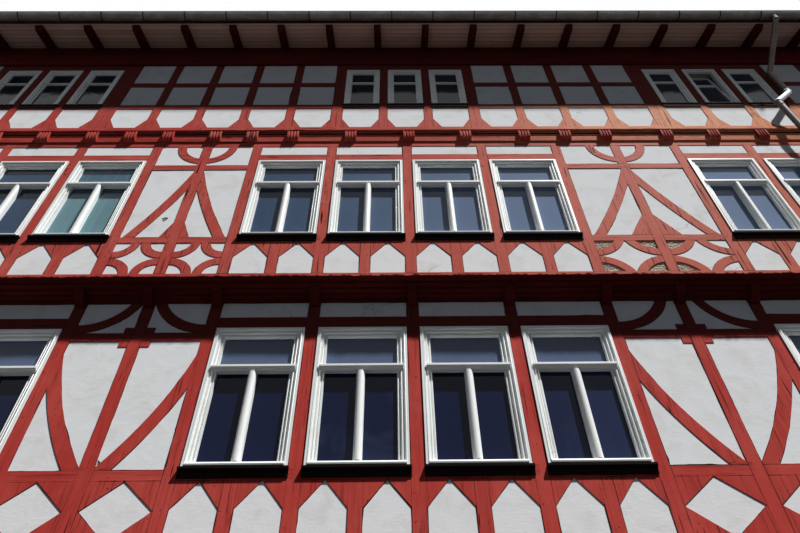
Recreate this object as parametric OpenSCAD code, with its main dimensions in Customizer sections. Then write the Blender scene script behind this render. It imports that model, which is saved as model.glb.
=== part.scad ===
// Half-timbered town house of four storeys under a steep tiled roof.
// Lengths are millimetres: x runs along the street front, y runs into the house
// and z is the height above the street. Fronts of the storeys are drawn flat,
// as x and height above the storey's own sill, and then given their depth.

/* [Bays of the street front] */
// Distance between the posts on either side of a window
window_bay = 1288; // [1200:1:1380]
// Distance between the posts of the braced panels left of the middle
brace_bay_left = 895; // [820:1:980]
// Distance between the posts of the braced panels right of the middle
brace_bay_right = 985; // [860:1:1060]
// The same two distances in the third storey, beside its middle windows
upper_brace_left = 857; // [820:1:900]
upper_brace_right = 1037; // [980:1:1060]
// Width of a post
post_w = 153; // [140:1:170]
// Width of the short stud under a window
stud_w = 150; // [120:1:180]
// Width of the first field of the top storey, beside its left corner post
end_field = 408; // [340:1:470]

/* [Walls] */
// Depth of the timbers
timber_d = 120; // [100:5:150]
// Thickness of the plastered lining behind the timbers
lining_d = 60; // [40:5:90]
// Setback of the plaster fields from the face of the timbers
field_back = 8; // [4:1:14]
// Depth of the house, measured at the top storey
house_d = 9800; // [9000:100:10600]

/* [Heights] */
// Height of the stone plinth
plinth_h = 365; // [300:5:450]
// Reach of the plinth beyond the timbers
plinth_out = 40; // [20:5:60]
// Height of the ground floor
floor_top = 150; // [120:5:180]
// Height of a storey, floor to floor
storey_h = 3590; // [3500:10:3700]
// Height of the third storey, floor to floor
upper_storey_h = 3755; // [3700:5:3850]
// Thickness of the floor over the two lower storeys
floor_d = 145; // [120:5:180]
// Thickness of the floor over the third storey
upper_floor_d = 240; // [200:5:280]
// Height of the top storey's wall
top_wall_h = 2810; // [2780:5:2900]
// Thickness of the attic floor
attic_floor_d = 220; // [160:5:260]

/* [Jetties] */
// Overhang of the second and of the third storey's front
jetty = 130; // [100:5:150]
// Overhang of the top storey's front
top_jetty = 65; // [50:5:80]
// Reach of the moulded cornice beyond the wall below it
cornice_reach = 300; // [280:5:330]

/* [Window storeys] */
// Height of the sill beam
sill_h = 190; // [170:5:210]
// Height of the underside of the parapet rail
parapet_top = 832; // [800:1:860]
// Height of the top of the parapet rail
rail_top = 955; // [930:1:980]
// Height of the bottom of the windows
window_z = 978; // [970:1:1000]
// Height of the upper light, its head and its transom
light_h = 678; // [640:2:720]
// Thickness of the rail over the windows
head_rail = 190; // [150:1:200]
// Height of the plaster strip between that rail and the top plate
strip_h = 257; // [220:1:290]
// Thickness of the top plate of the two lower storeys
plate_h = 100; // [80:5:130]
// Thickness of the top plate of the third storey
upper_plate_h = 155; // [130:5:180]

/* [Braces] */
// Thickness of the rail across the braced panels
cross_rail = 130; // [110:5:150]
// Height of the curved panels over that rail
lower_head_h = 510; // [470:5:550]
// The same in the third storey
upper_head_h = 565; // [520:5:610]
// Width of the curved pieces
bow_w = 138; // [115:1:160]
// Reach of the quarter bows in the two lower storeys
bow_reach = 735; // [640:5:760]
// Width of the long braces of the third storey
upper_brace_w = 146; // [130:2:170]
// Outer radius of the half bow in the third storey
half_bow_r = 505; // [460:5:540]

/* [Top storey] */
// Height of its sill beam
top_sill_h = 140; // [120:5:160]
// Height of the underside of its parapet rail
top_parapet = 808; // [780:1:840]
// Height of the bottom of its windows
top_window_z = 960; // [955:5:1000]
// Height of its windows
top_window_h = 1396; // [1340:2:1410]
// Tilt in degrees of the one sash that stands ajar
sash_tilt = 5.5; // [2:0.5:9]

/* [Roof] */
// Pitch of the main roof in degrees
roof_pitch = 50; // [45:1:54]
// Pitch of the flared eaves in degrees
eaves_pitch = 22; // [18:1:26]
// Reach of the eaves beyond the top storey's wall
eaves_reach = 680; // [600:10:760]
// Thickness of the roof covering with its battens
roof_t = 110; // [90:5:140]
// Overhang of the roof at the gables
verge = 250; // [150:10:350]
// Distance between the rafters
rafter_gap = 995; // [900:5:1050]
// Radius of the gutters
gutter_r = 95; // [80:5:110]
// Radius of the downpipe
pipe_r = 55; // [40:1:60]

/* [Hidden] */

$fn = 96;

// Depth of the places where plaster is lost
loss_d = 24;

// Clearance between a plaster field and the timbers round it
ease = 0.5;
wall_d = timber_d + lining_d;

// Heights of the sills of the four storeys, of the wall tops and of the attic
ground_z = plinth_h;
first_z = ground_z + storey_h;
second_z = first_z + storey_h;
top_z = second_z + upper_storey_h;
lower_wall_h = storey_h - floor_d;
second_wall_h = upper_storey_h - upper_floor_d;
top_plate_z = top_z + top_wall_h;
lower_plate_z = lower_wall_h - plate_h;
upper_plate_z = second_wall_h - upper_plate_h;
lower_window_h = lower_plate_z - strip_h - head_rail - window_z;
upper_window_h = upper_plate_z - strip_h - head_rail - window_z;
attic_z = top_plate_z + attic_floor_d;

// Faces of the fronts: the second storey of the house stands at zero
ground_y = jetty;
first_y = 0;
second_y = -jetty;
top_y = second_y - top_jetty;
back_y = top_y + house_d;
mid_y = (top_y + back_y) / 2;

// Bays of the front from left to right: halves of braced panels and windows
BRACE_L = 0;
BRACE_R = 1;
WINDOW = 2;
PLAIN = 3;
bays = [BRACE_L, BRACE_R, WINDOW, WINDOW, BRACE_L, BRACE_R, WINDOW, WINDOW,
        WINDOW, WINDOW, BRACE_L, BRACE_R, WINDOW, WINDOW, BRACE_L, BRACE_R];
middle_bay = len(bays) / 2;
door_bay = middle_bay;
function bay_w(i) = bays[i] == WINDOW ? window_bay : i < middle_bay ? brace_bay_left : brace_bay_right;

// Bays of the third storey: its outermost braced panels take up what the inner ones leave
function upper_bay_w(i) = bays[i] == WINDOW ? window_bay
    : i < 2 ? 2 * brace_bay_left - upper_brace_left
    : i < middle_bay ? upper_brace_left
    : i < len(bays) - 2 ? upper_brace_right : 2 * brace_bay_right - upper_brace_right;

// Places of the posts, counted from the middle one
function places(widths) =
    let (run = [for (i = 0, x = 0; i <= len(widths); x = x + (i < len(widths) ? widths[i] : 0), i = i + 1) x])
    [for (x = run) x - run[middle_bay]];
lower_posts = places([for (i = [0 : len(bays) - 1]) bay_w(i)]);
upper_posts = places([for (i = [0 : len(bays) - 1]) upper_bay_w(i)]);
function post_x(i, posts = lower_posts) = posts[i];
function clear_from(i, posts = lower_posts) = posts[i] + post_w / 2;
function clear_to(i, posts = lower_posts) = posts[i + 1] - post_w / 2;
left_x = post_x(0) - post_w / 2;
right_x = post_x(len(bays)) + post_w / 2;
mid_x = (left_x + right_x) / 2;
window_w = window_bay - post_w - 16;

// Fields of the top storey and the posts between them, from left to right
top_bays = [PLAIN, WINDOW, WINDOW, WINDOW, PLAIN, PLAIN, PLAIN, PLAIN, PLAIN,
            WINDOW, WINDOW, WINDOW, PLAIN, PLAIN, PLAIN, PLAIN, WINDOW, WINDOW, WINDOW,
            PLAIN, PLAIN];
wide = post_w * 1.35;
pair = post_w * 2.12;
top_posts = [post_w, wide, post_w, post_w, pair, post_w, post_w, post_w, post_w,
             wide, post_w, post_w, wide, post_w, post_w, post_w, pair, post_w, post_w,
             wide, post_w, post_w];
half_posts = wide * 2 + pair + post_w * 8;
top_field = (-left_x - end_field - half_posts) / 9.5;
function top_bay_w(i) = i == 0 ? end_field
    : i > len(top_bays) - 3 ? (right_x - half_posts - top_field * 8.5) / 2 : top_field;
top_starts = [for (i = 0, x = left_x + top_posts[0]; i < len(top_bays);
    x = x + top_bay_w(i) + top_posts[i + 1], i = i + 1) x];
function top_from(i) = top_starts[i];
function top_to(i) = top_from(i) + top_bay_w(i);
top_window_w = top_field - 10;

// Posts of the side walls, and the bays of the sides and back that have windows
side_bays = 7;
side_from = ground_y + wall_d;
side_to = back_y - wall_d;
side_pitch = (side_to - side_from - post_w) / side_bays;
side_windows = [1, 4];
back_windows = [3, 7, 8, 12];
rear_window_w = 760;
rear_window_h = 1420;

// Roof, as distance from the ridge and height
wall_u = house_d / 2;
board_t = 40;
tip_u = wall_u + eaves_reach;
soffit_tip_z = top_plate_z + 320;
kink_u = wall_u - 500;
soffit_t = 20;
function soffit_z(u) = soffit_tip_z + (tip_u - 40 - u) * tan(eaves_pitch);
function deck_z(u) = soffit_z(u) + soffit_t;
function slope_z(u) = deck_z(kink_u) + (kink_u - u) * tan(roof_pitch);
eaves_rise = roof_t / cos(eaves_pitch);
slope_rise = roof_t / cos(roof_pitch);
top_kink_u = kink_u + (slope_rise - eaves_rise) / (tan(roof_pitch) - tan(eaves_pitch));
top_kink_z = deck_z(top_kink_u) + eaves_rise;
beam_u = wall_u - 160;
gutter_z = deck_z(tip_u) + eaves_rise;

oxide = [0.70, 0.25, 0.21];
faded = [0.74, 0.34, 0.29];
shaded = [0.42, 0.13, 0.12];
plaster = [0.84, 0.84, 0.82];
white = [0.93, 0.93, 0.91];
pane = [0.16, 0.20, 0.28, 0.6];
sandstone = [0.66, 0.52, 0.44];
boards = [0.66, 0.55, 0.50];
clay = [0.58, 0.28, 0.20];
zinc = [0.45, 0.47, 0.48];
oak = [0.36, 0.20, 0.13];

// Turns a drawing in x and height into a slab between two depths
module across(y0, y1) {
    translate([0, y1, 0]) rotate([90, 0, 0]) linear_extrude(y1 - y0) children();
}

// Turns a drawing in depth and height into a slab between two places along the front
module along(x0, x1) {
    translate([x0, 0, 0]) rotate([90, 0, 90]) linear_extrude(x1 - x0) children();
}

// Moves the house so that the middle of its plan lies at the origin
module placed() {
    translate([-mid_x, -mid_y, 0]) children();
}

module box2(x0, z0, x1, z1) {
    translate([x0, z0]) square([x1 - x0, z1 - z0]);
}

// A curved timber: a ring whose marked edge passes through two points and bows by the given rise.
// body says how far the timber reaches from that edge, inwards and outwards, and turn is 1 where
// the centre lies left of the way from the first point to the second, else -1.
module bow(p0, p1, rise, body, turn, gap) {
    d = p1 - p0;
    chord = norm(d);
    r = (chord * chord / 4 + rise * rise) / (2 * rise);
    normal = turn * [-d[1], d[0]] / chord;
    translate((p0 + p1) / 2 + normal * (r - rise)) difference() {
        circle(r + body[1] + gap, $fn = 720);
        circle(r + body[0] - gap, $fn = 720);
    }
}

// A ring round a point, given by its outer radius and its width
module ring(p, r, t, gap) {
    translate(p) difference() {
        circle(r + gap);
        circle(r - t - gap);
    }
}

// Five-sided field with a pointed head between two posts
module pointed_field(x0, x1, gap) {
    mid = (x0 + x1) / 2;
    rise = (parapet_top - sill_h) * 0.475;
    lean = rise / ((x1 - x0) / 2);
    tip = sqrt(1 + lean * lean);
    shoulder = parapet_top - rise - (tip - lean) * gap;
    polygon([[x0 + gap, sill_h + gap], [x1 - gap, sill_h + gap], [x1 - gap, shoulder],
             [mid, parapet_top - tip * gap], [x0 + gap, shoulder]]);
}

// Fields of a bay that holds a window: two pointed ones below and a strip under the plate
module window_fields(x0, x1, plate_z, gap) {
    half = (x1 - x0 - stud_w) / 2;
    pointed_field(x0, x0 + half, gap);
    pointed_field(x1 - half, x1, gap);
    box2(x0 + gap, plate_z - strip_h + gap, x1 - gap, plate_z - gap);
}

// Lozenge that touches the posts and rails round it
module lozenge(w, gap) {
    half_h = (parapet_top - sill_h) / 2;
    slim = sqrt(1 + pow(w / 2 / half_h, 2)) * gap;
    tall = sqrt(1 + pow(half_h / (w / 2), 2)) * gap;
    translate([w / 2, sill_h + half_h])
        polygon([[slim - w / 2, 0], [0, tall - half_h], [w / 2 - slim, 0], [0, half_h - tall]]);
}

// The two plain fields of half a braced panel, below and above its cross rail
module panel_boxes(w, plate_z, head_h, gap) {
    box2(gap, rail_top + gap, w - gap, plate_z - head_h - cross_rail - gap);
    box2(gap, plate_z - head_h + gap, w - gap, plate_z - gap);
}

// Half a braced panel of the lower storeys, from its outer post to its middle post
module lower_half_panel(w, gap) {
    plate_z = lower_plate_z;
    rail_z = plate_z - lower_head_h - cross_rail;
    block_w = post_w * 0.75;
    block_z = [rail_z - 90, rail_z + cross_rail + 90];
    bow_r = (bow_reach * bow_reach + lower_head_h * lower_head_h) / (2 * lower_head_h);
    lozenge(w, gap);
    difference() {
        panel_boxes(w, plate_z, lower_head_h, gap);
        bow([0, rail_z - 190], [w + 6, rail_top + 16], 87, [0, post_w], 1, gap);
        ring([0, plate_z - lower_head_h + bow_r], bow_r, bow_w, gap);
        box2(w - block_w - gap, block_z[0] - gap, w, block_z[1] + gap);
    }
}

// The four bows of half a parapet in the third storey, each from a post to a rail or sill
module corner_bows(w, rise, gap) {
    mid_h = (sill_h + parapet_top) / 2;
    half_h = (parapet_top - sill_h) / 2;
    translate([w / 2, mid_h]) for (i = [0, 1], k = [0, 1]) mirror([i, 0]) mirror([0, k])
        bow([-w / 2, -8], [-8, -half_h], rise, [-bow_w * 0.9, 0], -1, gap);
}

// Half a braced panel of the third storey, from its outer post to its middle post
module upper_half_panel(w, foot, rise, gap) {
    plate_z = upper_plate_z;
    rail_z = plate_z - upper_head_h - cross_rail;
    difference() {
        box2(gap, sill_h + gap, w - gap, parapet_top - gap);
        corner_bows(w, rise, gap);
    }
    difference() {
        panel_boxes(w, plate_z, upper_head_h, gap);
        bow([w, rail_z - 41], [40, rail_top], 48, [0, upper_brace_w], -1, gap);
        ring([w + post_w / 2, plate_z], half_bow_r, bow_w, gap);
        polygon([[w - foot[0] - gap, rail_top - 1], [w + 1, rail_top - 1],
                 [w + 1, rail_top + foot[1] + gap], [w - 2, rail_top + foot[1] + gap]]);
    }
}

// Draws a half panel in its bay, turned round where its outer post is on the right
module in_bay(i, posts = lower_posts) {
    if (bays[i] == BRACE_L) translate([clear_from(i, posts), 0]) children();
    else translate([clear_to(i, posts), 0]) mirror([1, 0]) children();
}

// All plaster fields of one of the two lower storeys
module lower_fields(gap) {
    for (i = [0 : len(bays) - 1])
        if (bays[i] == WINDOW) window_fields(clear_from(i), clear_to(i), lower_plate_z, gap);
        else in_bay(i) lower_half_panel(bay_w(i) - post_w, gap);
}

// Sizes that differ between the braced panels of the third storey left and right of the middle
function foot_of(i) = i < middle_bay ? [140, 345] : [295, 480];
function rise_of(i) = i < middle_bay ? 95 : 72;

// All plaster fields of the third storey
module upper_fields(gap) {
    for (i = [0 : len(bays) - 1])
        if (bays[i] == WINDOW)
            window_fields(clear_from(i, upper_posts), clear_to(i, upper_posts), upper_plate_z, gap);
        else in_bay(i, upper_posts)
            upper_half_panel(upper_bay_w(i) - post_w, foot_of(i), rise_of(i), gap);
}

// Corners of a braced parapet that have lost their plaster: the parts inside the corner bows
bare_bays = [10, 11];
module bare_corners() {
    for (i = bare_bays, side = [0, 1], k = [0, 1])
        if (i == bare_bays[0] || side == 0) in_bay(i, upper_posts) {
            w = upper_bay_w(i) - post_w;
            half_h = (parapet_top - sill_h) / 2;
            inner_w = w / 2 - bow_w * 1.05;
            inner_h = half_h - bow_w * 0.95;
            x = i == bare_bays[0] ? (side == 0 ? 0 : w - inner_w) : w - inner_w;
            box2(x - 1, k == 0 ? sill_h - 1 : parapet_top - inner_h, x + inner_w + 1,
                 k == 0 ? sill_h + inner_h : parapet_top + 1);
        }
}

// Places where plaster has broken away, at a brace of the second storey and of the third
module lower_loss() {
    polygon([[post_x(5) + 80, 948], [post_x(5) + 168, 950], [post_x(5) + 150, 990],
             [post_x(5) + 118, 1050], [post_x(5) + 90, 1075]]);
}

module upper_loss() {
    x = post_x(5, upper_posts) - 240;
    polygon([[x - 30, 1335], [x - 5, 1322], [x + 28, 1352], [x + 46, 1410], [x + 4, 1428], [x - 42, 1402]]);
}

// Openings of the windows of a lower storey
module window_holes(h, posts = lower_posts) {
    for (i = [0 : len(bays) - 1])
        if (bays[i] == WINDOW) box2(clear_from(i, posts), window_z, clear_to(i, posts), window_z + h);
}

// Fields of the top storey: lower corners cut off below, two rows above or a window
module top_fields(gap) {
    low = rail_top - 6;
    high = top_wall_h - 172;
    middle = low + (high - low) * 0.47;
    flare = [0.222, top_sill_h + 293];
    for (i = [0 : len(top_bays) - 1]) {
        x0 = top_from(i) + gap;
        x1 = top_to(i) - gap;
        cut = (x1 - x0) * flare[0];
        polygon([[x0 + cut, top_sill_h + gap], [x1 - cut, top_sill_h + gap], [x1, flare[1]],
                 [x1, top_parapet - gap], [x0, top_parapet - gap], [x0, flare[1]]]);
        if (top_bays[i] == WINDOW)
            box2(x0, high - 50 + gap, x1, high + 30 - gap);
        else {
            box2(x0, low + gap, x1, middle - 76 - gap);
            box2(x0, middle + 76 + gap, x1, high - gap);
        }
    }
}

module top_window_holes() {
    for (i = [0 : len(top_bays) - 1])
        if (top_bays[i] == WINDOW)
            box2(top_from(i), top_window_z, top_to(i), top_window_z + top_window_h);
}

module front_sheet(h) {
    box2(left_x, 0, right_x, h);
}

// Doorway between its posts, open down to the threshold
door_from = clear_from(door_bay);
door_to = clear_to(door_bay);
door_head_z = window_z + lower_window_h;
module doorway() {
    box2(door_from, -1, door_to, door_head_z);
}

// Slits that part the timbers over the doorway from its posts
module doorway_slits(h) {
    for (x = [door_from, door_to - ease]) box2(x, door_head_z - 1, x + ease, h + 1);
}

module frame_ground() placed() color(oxide) translate([0, 0, ground_z]) {
    across(ground_y, ground_y + timber_d) difference() {
        front_sheet(lower_wall_h);
        lower_fields(0);
        window_holes(lower_window_h);
        doorway();
        doorway_slits(lower_wall_h);
    }
    for (x = [door_from - post_w, door_to])
        across(ground_y + timber_d, ground_y + wall_d) box2(x, 0, x + post_w, lower_wall_h);
}

module infill_ground() placed() color(plaster) translate([0, 0, ground_z]) {
    across(ground_y + timber_d, ground_y + wall_d) difference() {
        front_sheet(lower_wall_h);
        window_holes(lower_window_h);
        doorway();
        doorway_slits(lower_wall_h);
        for (x = [door_from - post_w, door_to]) box2(x - ease, -1, x + post_w + ease, lower_wall_h + 1);
    }
    across(ground_y + field_back, ground_y + timber_d) difference() {
        lower_fields(ease);
        doorway();
    }
}

module frame_first() placed() color(oxide) translate([0, 0, first_z])
    across(first_y, first_y + timber_d) difference() {
        front_sheet(lower_wall_h);
        lower_fields(0);
        window_holes(lower_window_h);
    }

module infill_first() placed() color(plaster) translate([0, 0, first_z]) {
    across(first_y + timber_d, first_y + wall_d) difference() {
        front_sheet(lower_wall_h);
        window_holes(lower_window_h);
    }
    across(first_y + field_back + loss_d, first_y + timber_d) lower_fields(ease);
    across(first_y + field_back, first_y + field_back + loss_d) difference() {
        lower_fields(ease);
        lower_loss();
    }
}

module frame_second() placed() color(faded) translate([0, 0, second_z])
    across(second_y, second_y + timber_d) difference() {
        front_sheet(second_wall_h);
        upper_fields(0);
        window_holes(upper_window_h, upper_posts);
    }

module infill_second() placed() color(plaster) translate([0, 0, second_z]) {
    across(second_y + timber_d, second_y + wall_d) difference() {
        front_sheet(second_wall_h);
        window_holes(upper_window_h, upper_posts);
    }
    across(second_y + field_back + loss_d, second_y + timber_d) upper_fields(ease);
    across(second_y + field_back, second_y + field_back + loss_d) difference() {
        upper_fields(ease);
        bare_corners();
        upper_loss();
    }
}

module frame_top() placed() color(faded) translate([0, 0, top_z]) {
    across(top_y, top_y + timber_d) difference() {
        front_sheet(top_wall_h);
        top_fields(0);
        top_window_holes();
    }
    along(left_x, right_x)
        polygon([[top_y, 5], [top_y - 22, 10], [top_y - 22, 45], [top_y - 12, 60], [top_y - 12, 95],
                 [top_y, 110]]);
}

module infill_top() placed() color(plaster) translate([0, 0, top_z]) {
    across(top_y + timber_d, top_y + wall_d) difference() {
        front_sheet(top_wall_h);
        top_window_holes();
    }
    across(top_y + field_back, top_y + timber_d) top_fields(ease);
}

// Frame of a tall window: stepped casing, moulded transom, round mullion and weather bar
casing_steps = [[45, -18, 30], [85, 0, 60], [125, 22, 110]];
foot_share = 0.6;
pane_y = 66;
pane_t = 6;
module stepped_casing(w, h, steps, share) {
    for (s = steps) across(s[1], s[2]) difference() {
        box2(-w / 2, 0, w / 2, h);
        box2(s[0] - w / 2, s[0] * share, w / 2 - s[0], h - s[0]);
    }
}

// Transoms, each with the heights of its bar and the side view of its moulding: a bold round one
// for the two lower storeys and a slimmer one for the third
bold_bar = [8, 86, [[24, 6], [-8, 6], [-14, 20], [-34, 32], [-46, 46], [-46, 72], [-30, 86], [24, 86]]];
slim_bar = [0, 62, [[24, -6], [-6, -6], [-12, 8], [-34, 16], [-34, 50], [-26, 62], [24, 62]]];

module tall_window(h, bar) {
    w = window_w;
    bar_z = h - light_h;
    reach = w / 2 - 57;
    mullion_r = 50;
    stepped_casing(w, h, casing_steps, foot_share);
    across(casing_steps[2][1], pane_y) box2(1 - w / 2, bar_z + bar[0], w / 2 - 1, bar_z + bar[1]);
    translate([0, 0, bar_z]) along(-reach, reach) polygon(bar[2]);
    across(20, pane_y) box2(-mullion_r, 60, mullion_r, bar_z + 10);
    translate([0, pane_y - mullion_r, 60]) cylinder(r = mullion_r, h = bar_z - 68);
    along(35 - w / 2, w / 2 - 35) polygon([[24, 4], [-46, 4], [-50, 20], [-34, 44], [24, 60]]);
}

// Sheet of glass behind the bars of a tall window
module tall_pane(h) {
    border = casing_steps[2][0];
    across(pane_y, pane_y + pane_t)
        box2(border + ease - window_w / 2, border * foot_share + ease, window_w / 2 - border - ease,
             h - border - ease);
}

// Dark moulded sill under a window, against the parapet rail
module sill(w, drop, reach) {
    along(-w / 2, w / 2)
        polygon([[0, -drop], [-14, -drop], [-18, -drop * 0.55], [-reach * 0.8, -drop * 0.42],
                 [-reach, -drop * 0.3], [-reach, -12], [0, -1]]);
}

module row_of_windows(skip, y, z, posts = lower_posts) {
    for (i = [0 : len(bays) - 1])
        if (bays[i] == WINDOW && i != skip)
            translate([(clear_from(i, posts) + clear_to(i, posts)) / 2, y, z + window_z]) children();
}

module windows_ground() placed() color(white)
    row_of_windows(door_bay, ground_y, ground_z) tall_window(lower_window_h, bold_bar);
module glass_ground() placed() color(pane)
    row_of_windows(door_bay, ground_y, ground_z) tall_pane(lower_window_h);
module sills_ground() placed() color(shaded)
    row_of_windows(door_bay, ground_y, ground_z) sill(window_w + 34, 124, 52);
module windows_first() placed() color(white)
    row_of_windows(-1, first_y, first_z) tall_window(lower_window_h, bold_bar);
module glass_first() placed() color(pane)
    row_of_windows(-1, first_y, first_z) tall_pane(lower_window_h);
module sills_first() placed() color(shaded)
    row_of_windows(-1, first_y, first_z) sill(window_w + 34, 124, 52);
module windows_second() placed() color(white)
    row_of_windows(-1, second_y, second_z, upper_posts) tall_window(upper_window_h, slim_bar);
module glass_second() placed() color(pane)
    row_of_windows(-1, second_y, second_z, upper_posts) tall_pane(upper_window_h);
module sills_second() placed() color(shaded)
    row_of_windows(-1, second_y, second_z, upper_posts) sill(window_w + 34, 124, 52);

// Casing of a small window, and the sash with its bar that stands in it
small_steps = [[42, -15, 30], [80, 0, 60]];
sash_border = 118;
sash_y = [20, 105];
small_pane_y = 44;
small_share = 0.5;
module small_casing(w, h) {
    stepped_casing(w, h, small_steps, small_share);
}

module small_sash(w, h) {
    rim = small_steps[1][0] - 1;
    bar_z = h * 0.616;
    across(sash_y[0], sash_y[1]) difference() {
        box2(rim - w / 2, rim * small_share, w / 2 - rim, h - rim);
        box2(sash_border - w / 2, sash_border * small_share, w / 2 - sash_border, h - sash_border);
    }
    across(sash_y[0], small_pane_y)
        box2(sash_border - 1 - w / 2, bar_z, w / 2 - sash_border + 1, bar_z + 50);
    translate([0, 0, bar_z]) along(sash_border - 30 - w / 2, w / 2 - sash_border + 30)
        polygon([[22, 4], [14, 8], [8, 20], [8, 40], [22, 48]]);
}

module small_window(w, h) {
    small_casing(w, h);
    small_sash(w, h);
}

module small_pane(w, h) {
    across(small_pane_y, small_pane_y + pane_t)
        box2(sash_border + ease - w / 2, sash_border * small_share + ease, w / 2 - sash_border - ease,
             h - sash_border - ease);
}

// Leans a sash inwards about its lower edge
module ajar() {
    hinge = [0, sash_y[0] + 30, small_steps[1][0] * small_share];
    translate(hinge) rotate([-sash_tilt, 0, 0]) translate(-hinge) children();
}

ajar_bay = 17;
module top_row(shut) {
    for (i = [0 : len(top_bays) - 1])
        if (top_bays[i] == WINDOW && shut != (i == ajar_bay))
            translate([(top_from(i) + top_to(i)) / 2, top_y, top_z + top_window_z]) children();
}

module windows_top() placed() color(white) {
    top_row(true) small_window(top_window_w, top_window_h);
    top_row(false) {
        small_casing(top_window_w, top_window_h);
        ajar() small_sash(top_window_w, top_window_h);
    }
}

module glass_top() placed() color(pane) {
    top_row(true) small_pane(top_window_w, top_window_h);
    top_row(false) ajar() small_pane(top_window_w, top_window_h);
}

module sills_top() placed() color(shaded)
    for (shut = [true, false]) top_row(shut) sill(top_window_w + 40, 116, 30);

// Posts, rails and short corner braces of a plain wall, drawn from a list of post centres
function levels() = [for (z = [ground_z, first_z, second_z]) each
    [[z - floor_d, z + sill_h], [z + parapet_top, z + window_z + 1],
     [z + window_z + rear_window_h + 40, z + window_z + rear_window_h + 160]]];
function top_levels() = [[top_z - upper_floor_d, top_z + top_sill_h],
    [top_z + top_parapet, top_z + top_window_z + 1], [top_z + 2480, top_z + 2580], [top_plate_z - 150, attic_z]];
module plain_members(posts, x0, x1, z1, gap) {
    for (x = posts) box2(x - post_w / 2 - gap, ground_z - 1, x + post_w / 2 + gap, z1);
    for (l = concat(levels(), top_levels())) box2(x0 - 1, l[0] - gap, x1 + 1, l[1] + gap);
}

// Straight braces that rise from the sills towards the end posts of a plain wall
module end_braces(posts, gap) {
    last = len(posts) - 1;
    middle = (posts[0] + posts[last]) / 2;
    half = (posts[last] - posts[0]) / 2;
    head = half - post_w / 2;
    foot = half - (posts[1] - posts[0]) + post_w / 2;
    for (z = [ground_z, first_z, second_z], side = [0, 1]) {
        low = z + rail_top;
        high = z + window_z + rear_window_h + 40;
        translate([middle, 0]) mirror([side, 0])
            polygon([[foot - 1, low - 1], [foot + post_w * 1.15 + gap, low - 1],
                     [head + 1, high - post_w * 2.4 - gap], [head + 1, high + 1],
                     [head - gap, high + 1], [foot - 1, low + post_w * 1.2 + gap]]);
    }
}

// Window holes of the plain walls: pairs of place and sill height
module rear_holes(centres, gap) {
    for (c = centres, z = [ground_z, first_z, second_z])
        box2(c - rear_window_w / 2 - gap, z + window_z - gap,
             c + rear_window_w / 2 + gap, z + window_z + rear_window_h + gap);
    for (c = centres)
        box2(c - rear_window_w / 2 - gap, top_z + top_window_z - gap,
             c + rear_window_w / 2 + gap, top_z + top_window_z + rear_window_h + gap);
}

// Outline of a side wall with its gable, as depth and height
module side_outline(inset) {
    box2(ground_y + wall_d, ground_z, side_to, first_z);
    box2(first_y + wall_d, first_z - floor_d, side_to, second_z);
    box2(second_y + wall_d, second_z - floor_d, side_to, top_z);
    box2(top_y + wall_d, top_z - upper_floor_d, side_to, attic_z);
    gable_outline(inset);
}

module gable_outline(inset) {
    half = beam_u;
    translate([mid_y, 0])
        polygon([[-half, attic_z], [half, attic_z], [half, deck_z(half) - inset],
                 [kink_u, deck_z(kink_u) - inset], [0, slope_z(0) - inset * 1.6],
                 [-kink_u, deck_z(kink_u) - inset], [-half, deck_z(half) - inset]]);
}

side_posts = [for (i = [0 : side_bays]) side_from + post_w / 2 + i * side_pitch];
side_centres = [for (i = side_windows) side_posts[i] + side_pitch / 2];
gable_rails = [1350, 2700, 4050];

module side_members(gap) {
    plain_members(side_posts, top_y, side_to, slope_z(0), gap);
    end_braces(side_posts, gap);
    for (z = gable_rails) box2(top_y, attic_z + z - gap, side_to, attic_z + z + 120 + gap);
    for (c = side_centres) window_studs(c, gap);
}

// Studs on either side of each window of a plain wall, with a rail over it in the top storey
module window_studs(c, gap) {
    for (z = [ground_z, first_z, second_z], s = [-1, 1]) {
        edge = c + s * (rear_window_w / 2 + 50);
        box2(edge - 50 - gap, z + rail_top - 1, edge + 50 + gap, z + window_z + rear_window_h + 50);
    }
    for (s = [-1, 1]) {
        edge = c + s * (rear_window_w / 2 + 50);
        box2(edge - 50 - gap, top_z + rail_top - 1, edge + 50 + gap, top_z + 2500);
    }
}

// Barge timbers that edge the gable under the roof
module gable_edge(gap) {
    difference() {
        gable_outline(0);
        gable_outline(170 + gap);
    }
}

module side_frame(x0) {
    along(x0, x0 + timber_d) difference() {
        intersection() {
            side_outline(0);
            union() {
                side_members(0);
                gable_edge(0);
            }
        }
        rear_holes(side_centres, 0);
    }
}

module side_infill(lining_x, field_x) {
    along(lining_x, lining_x + lining_d) difference() {
        side_outline(0);
        rear_holes(side_centres, 0);
    }
    along(field_x, field_x + timber_d - field_back) difference() {
        side_outline(0);
        side_members(ease);
        gable_edge(ease);
        rear_holes(side_centres, 0);
    }
}

module frame_left() placed() color(oxide) side_frame(left_x);
module infill_left() placed() color(plaster) side_infill(left_x + timber_d, left_x + field_back);
module frame_right() placed() color(oxide) side_frame(right_x - timber_d);
module infill_right() placed() color(plaster) side_infill(right_x - wall_d, right_x - timber_d);

back_posts = [for (i = [0 : len(bays)]) post_x(i)];
back_centres = [for (i = back_windows) (post_x(i) + post_x(i + 1)) / 2];

module back_members(gap) {
    plain_members(back_posts, left_x, right_x, attic_z, gap);
    end_braces(back_posts, gap);
    for (c = back_centres) window_studs(c, gap);
}

module back_sheet() {
    box2(left_x, ground_z, right_x, attic_z);
}

module frame_back() placed() color(oxide) across(back_y - timber_d, back_y) difference() {
    intersection() {
        back_sheet();
        back_members(0);
    }
    rear_holes(back_centres, 0);
}

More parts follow.
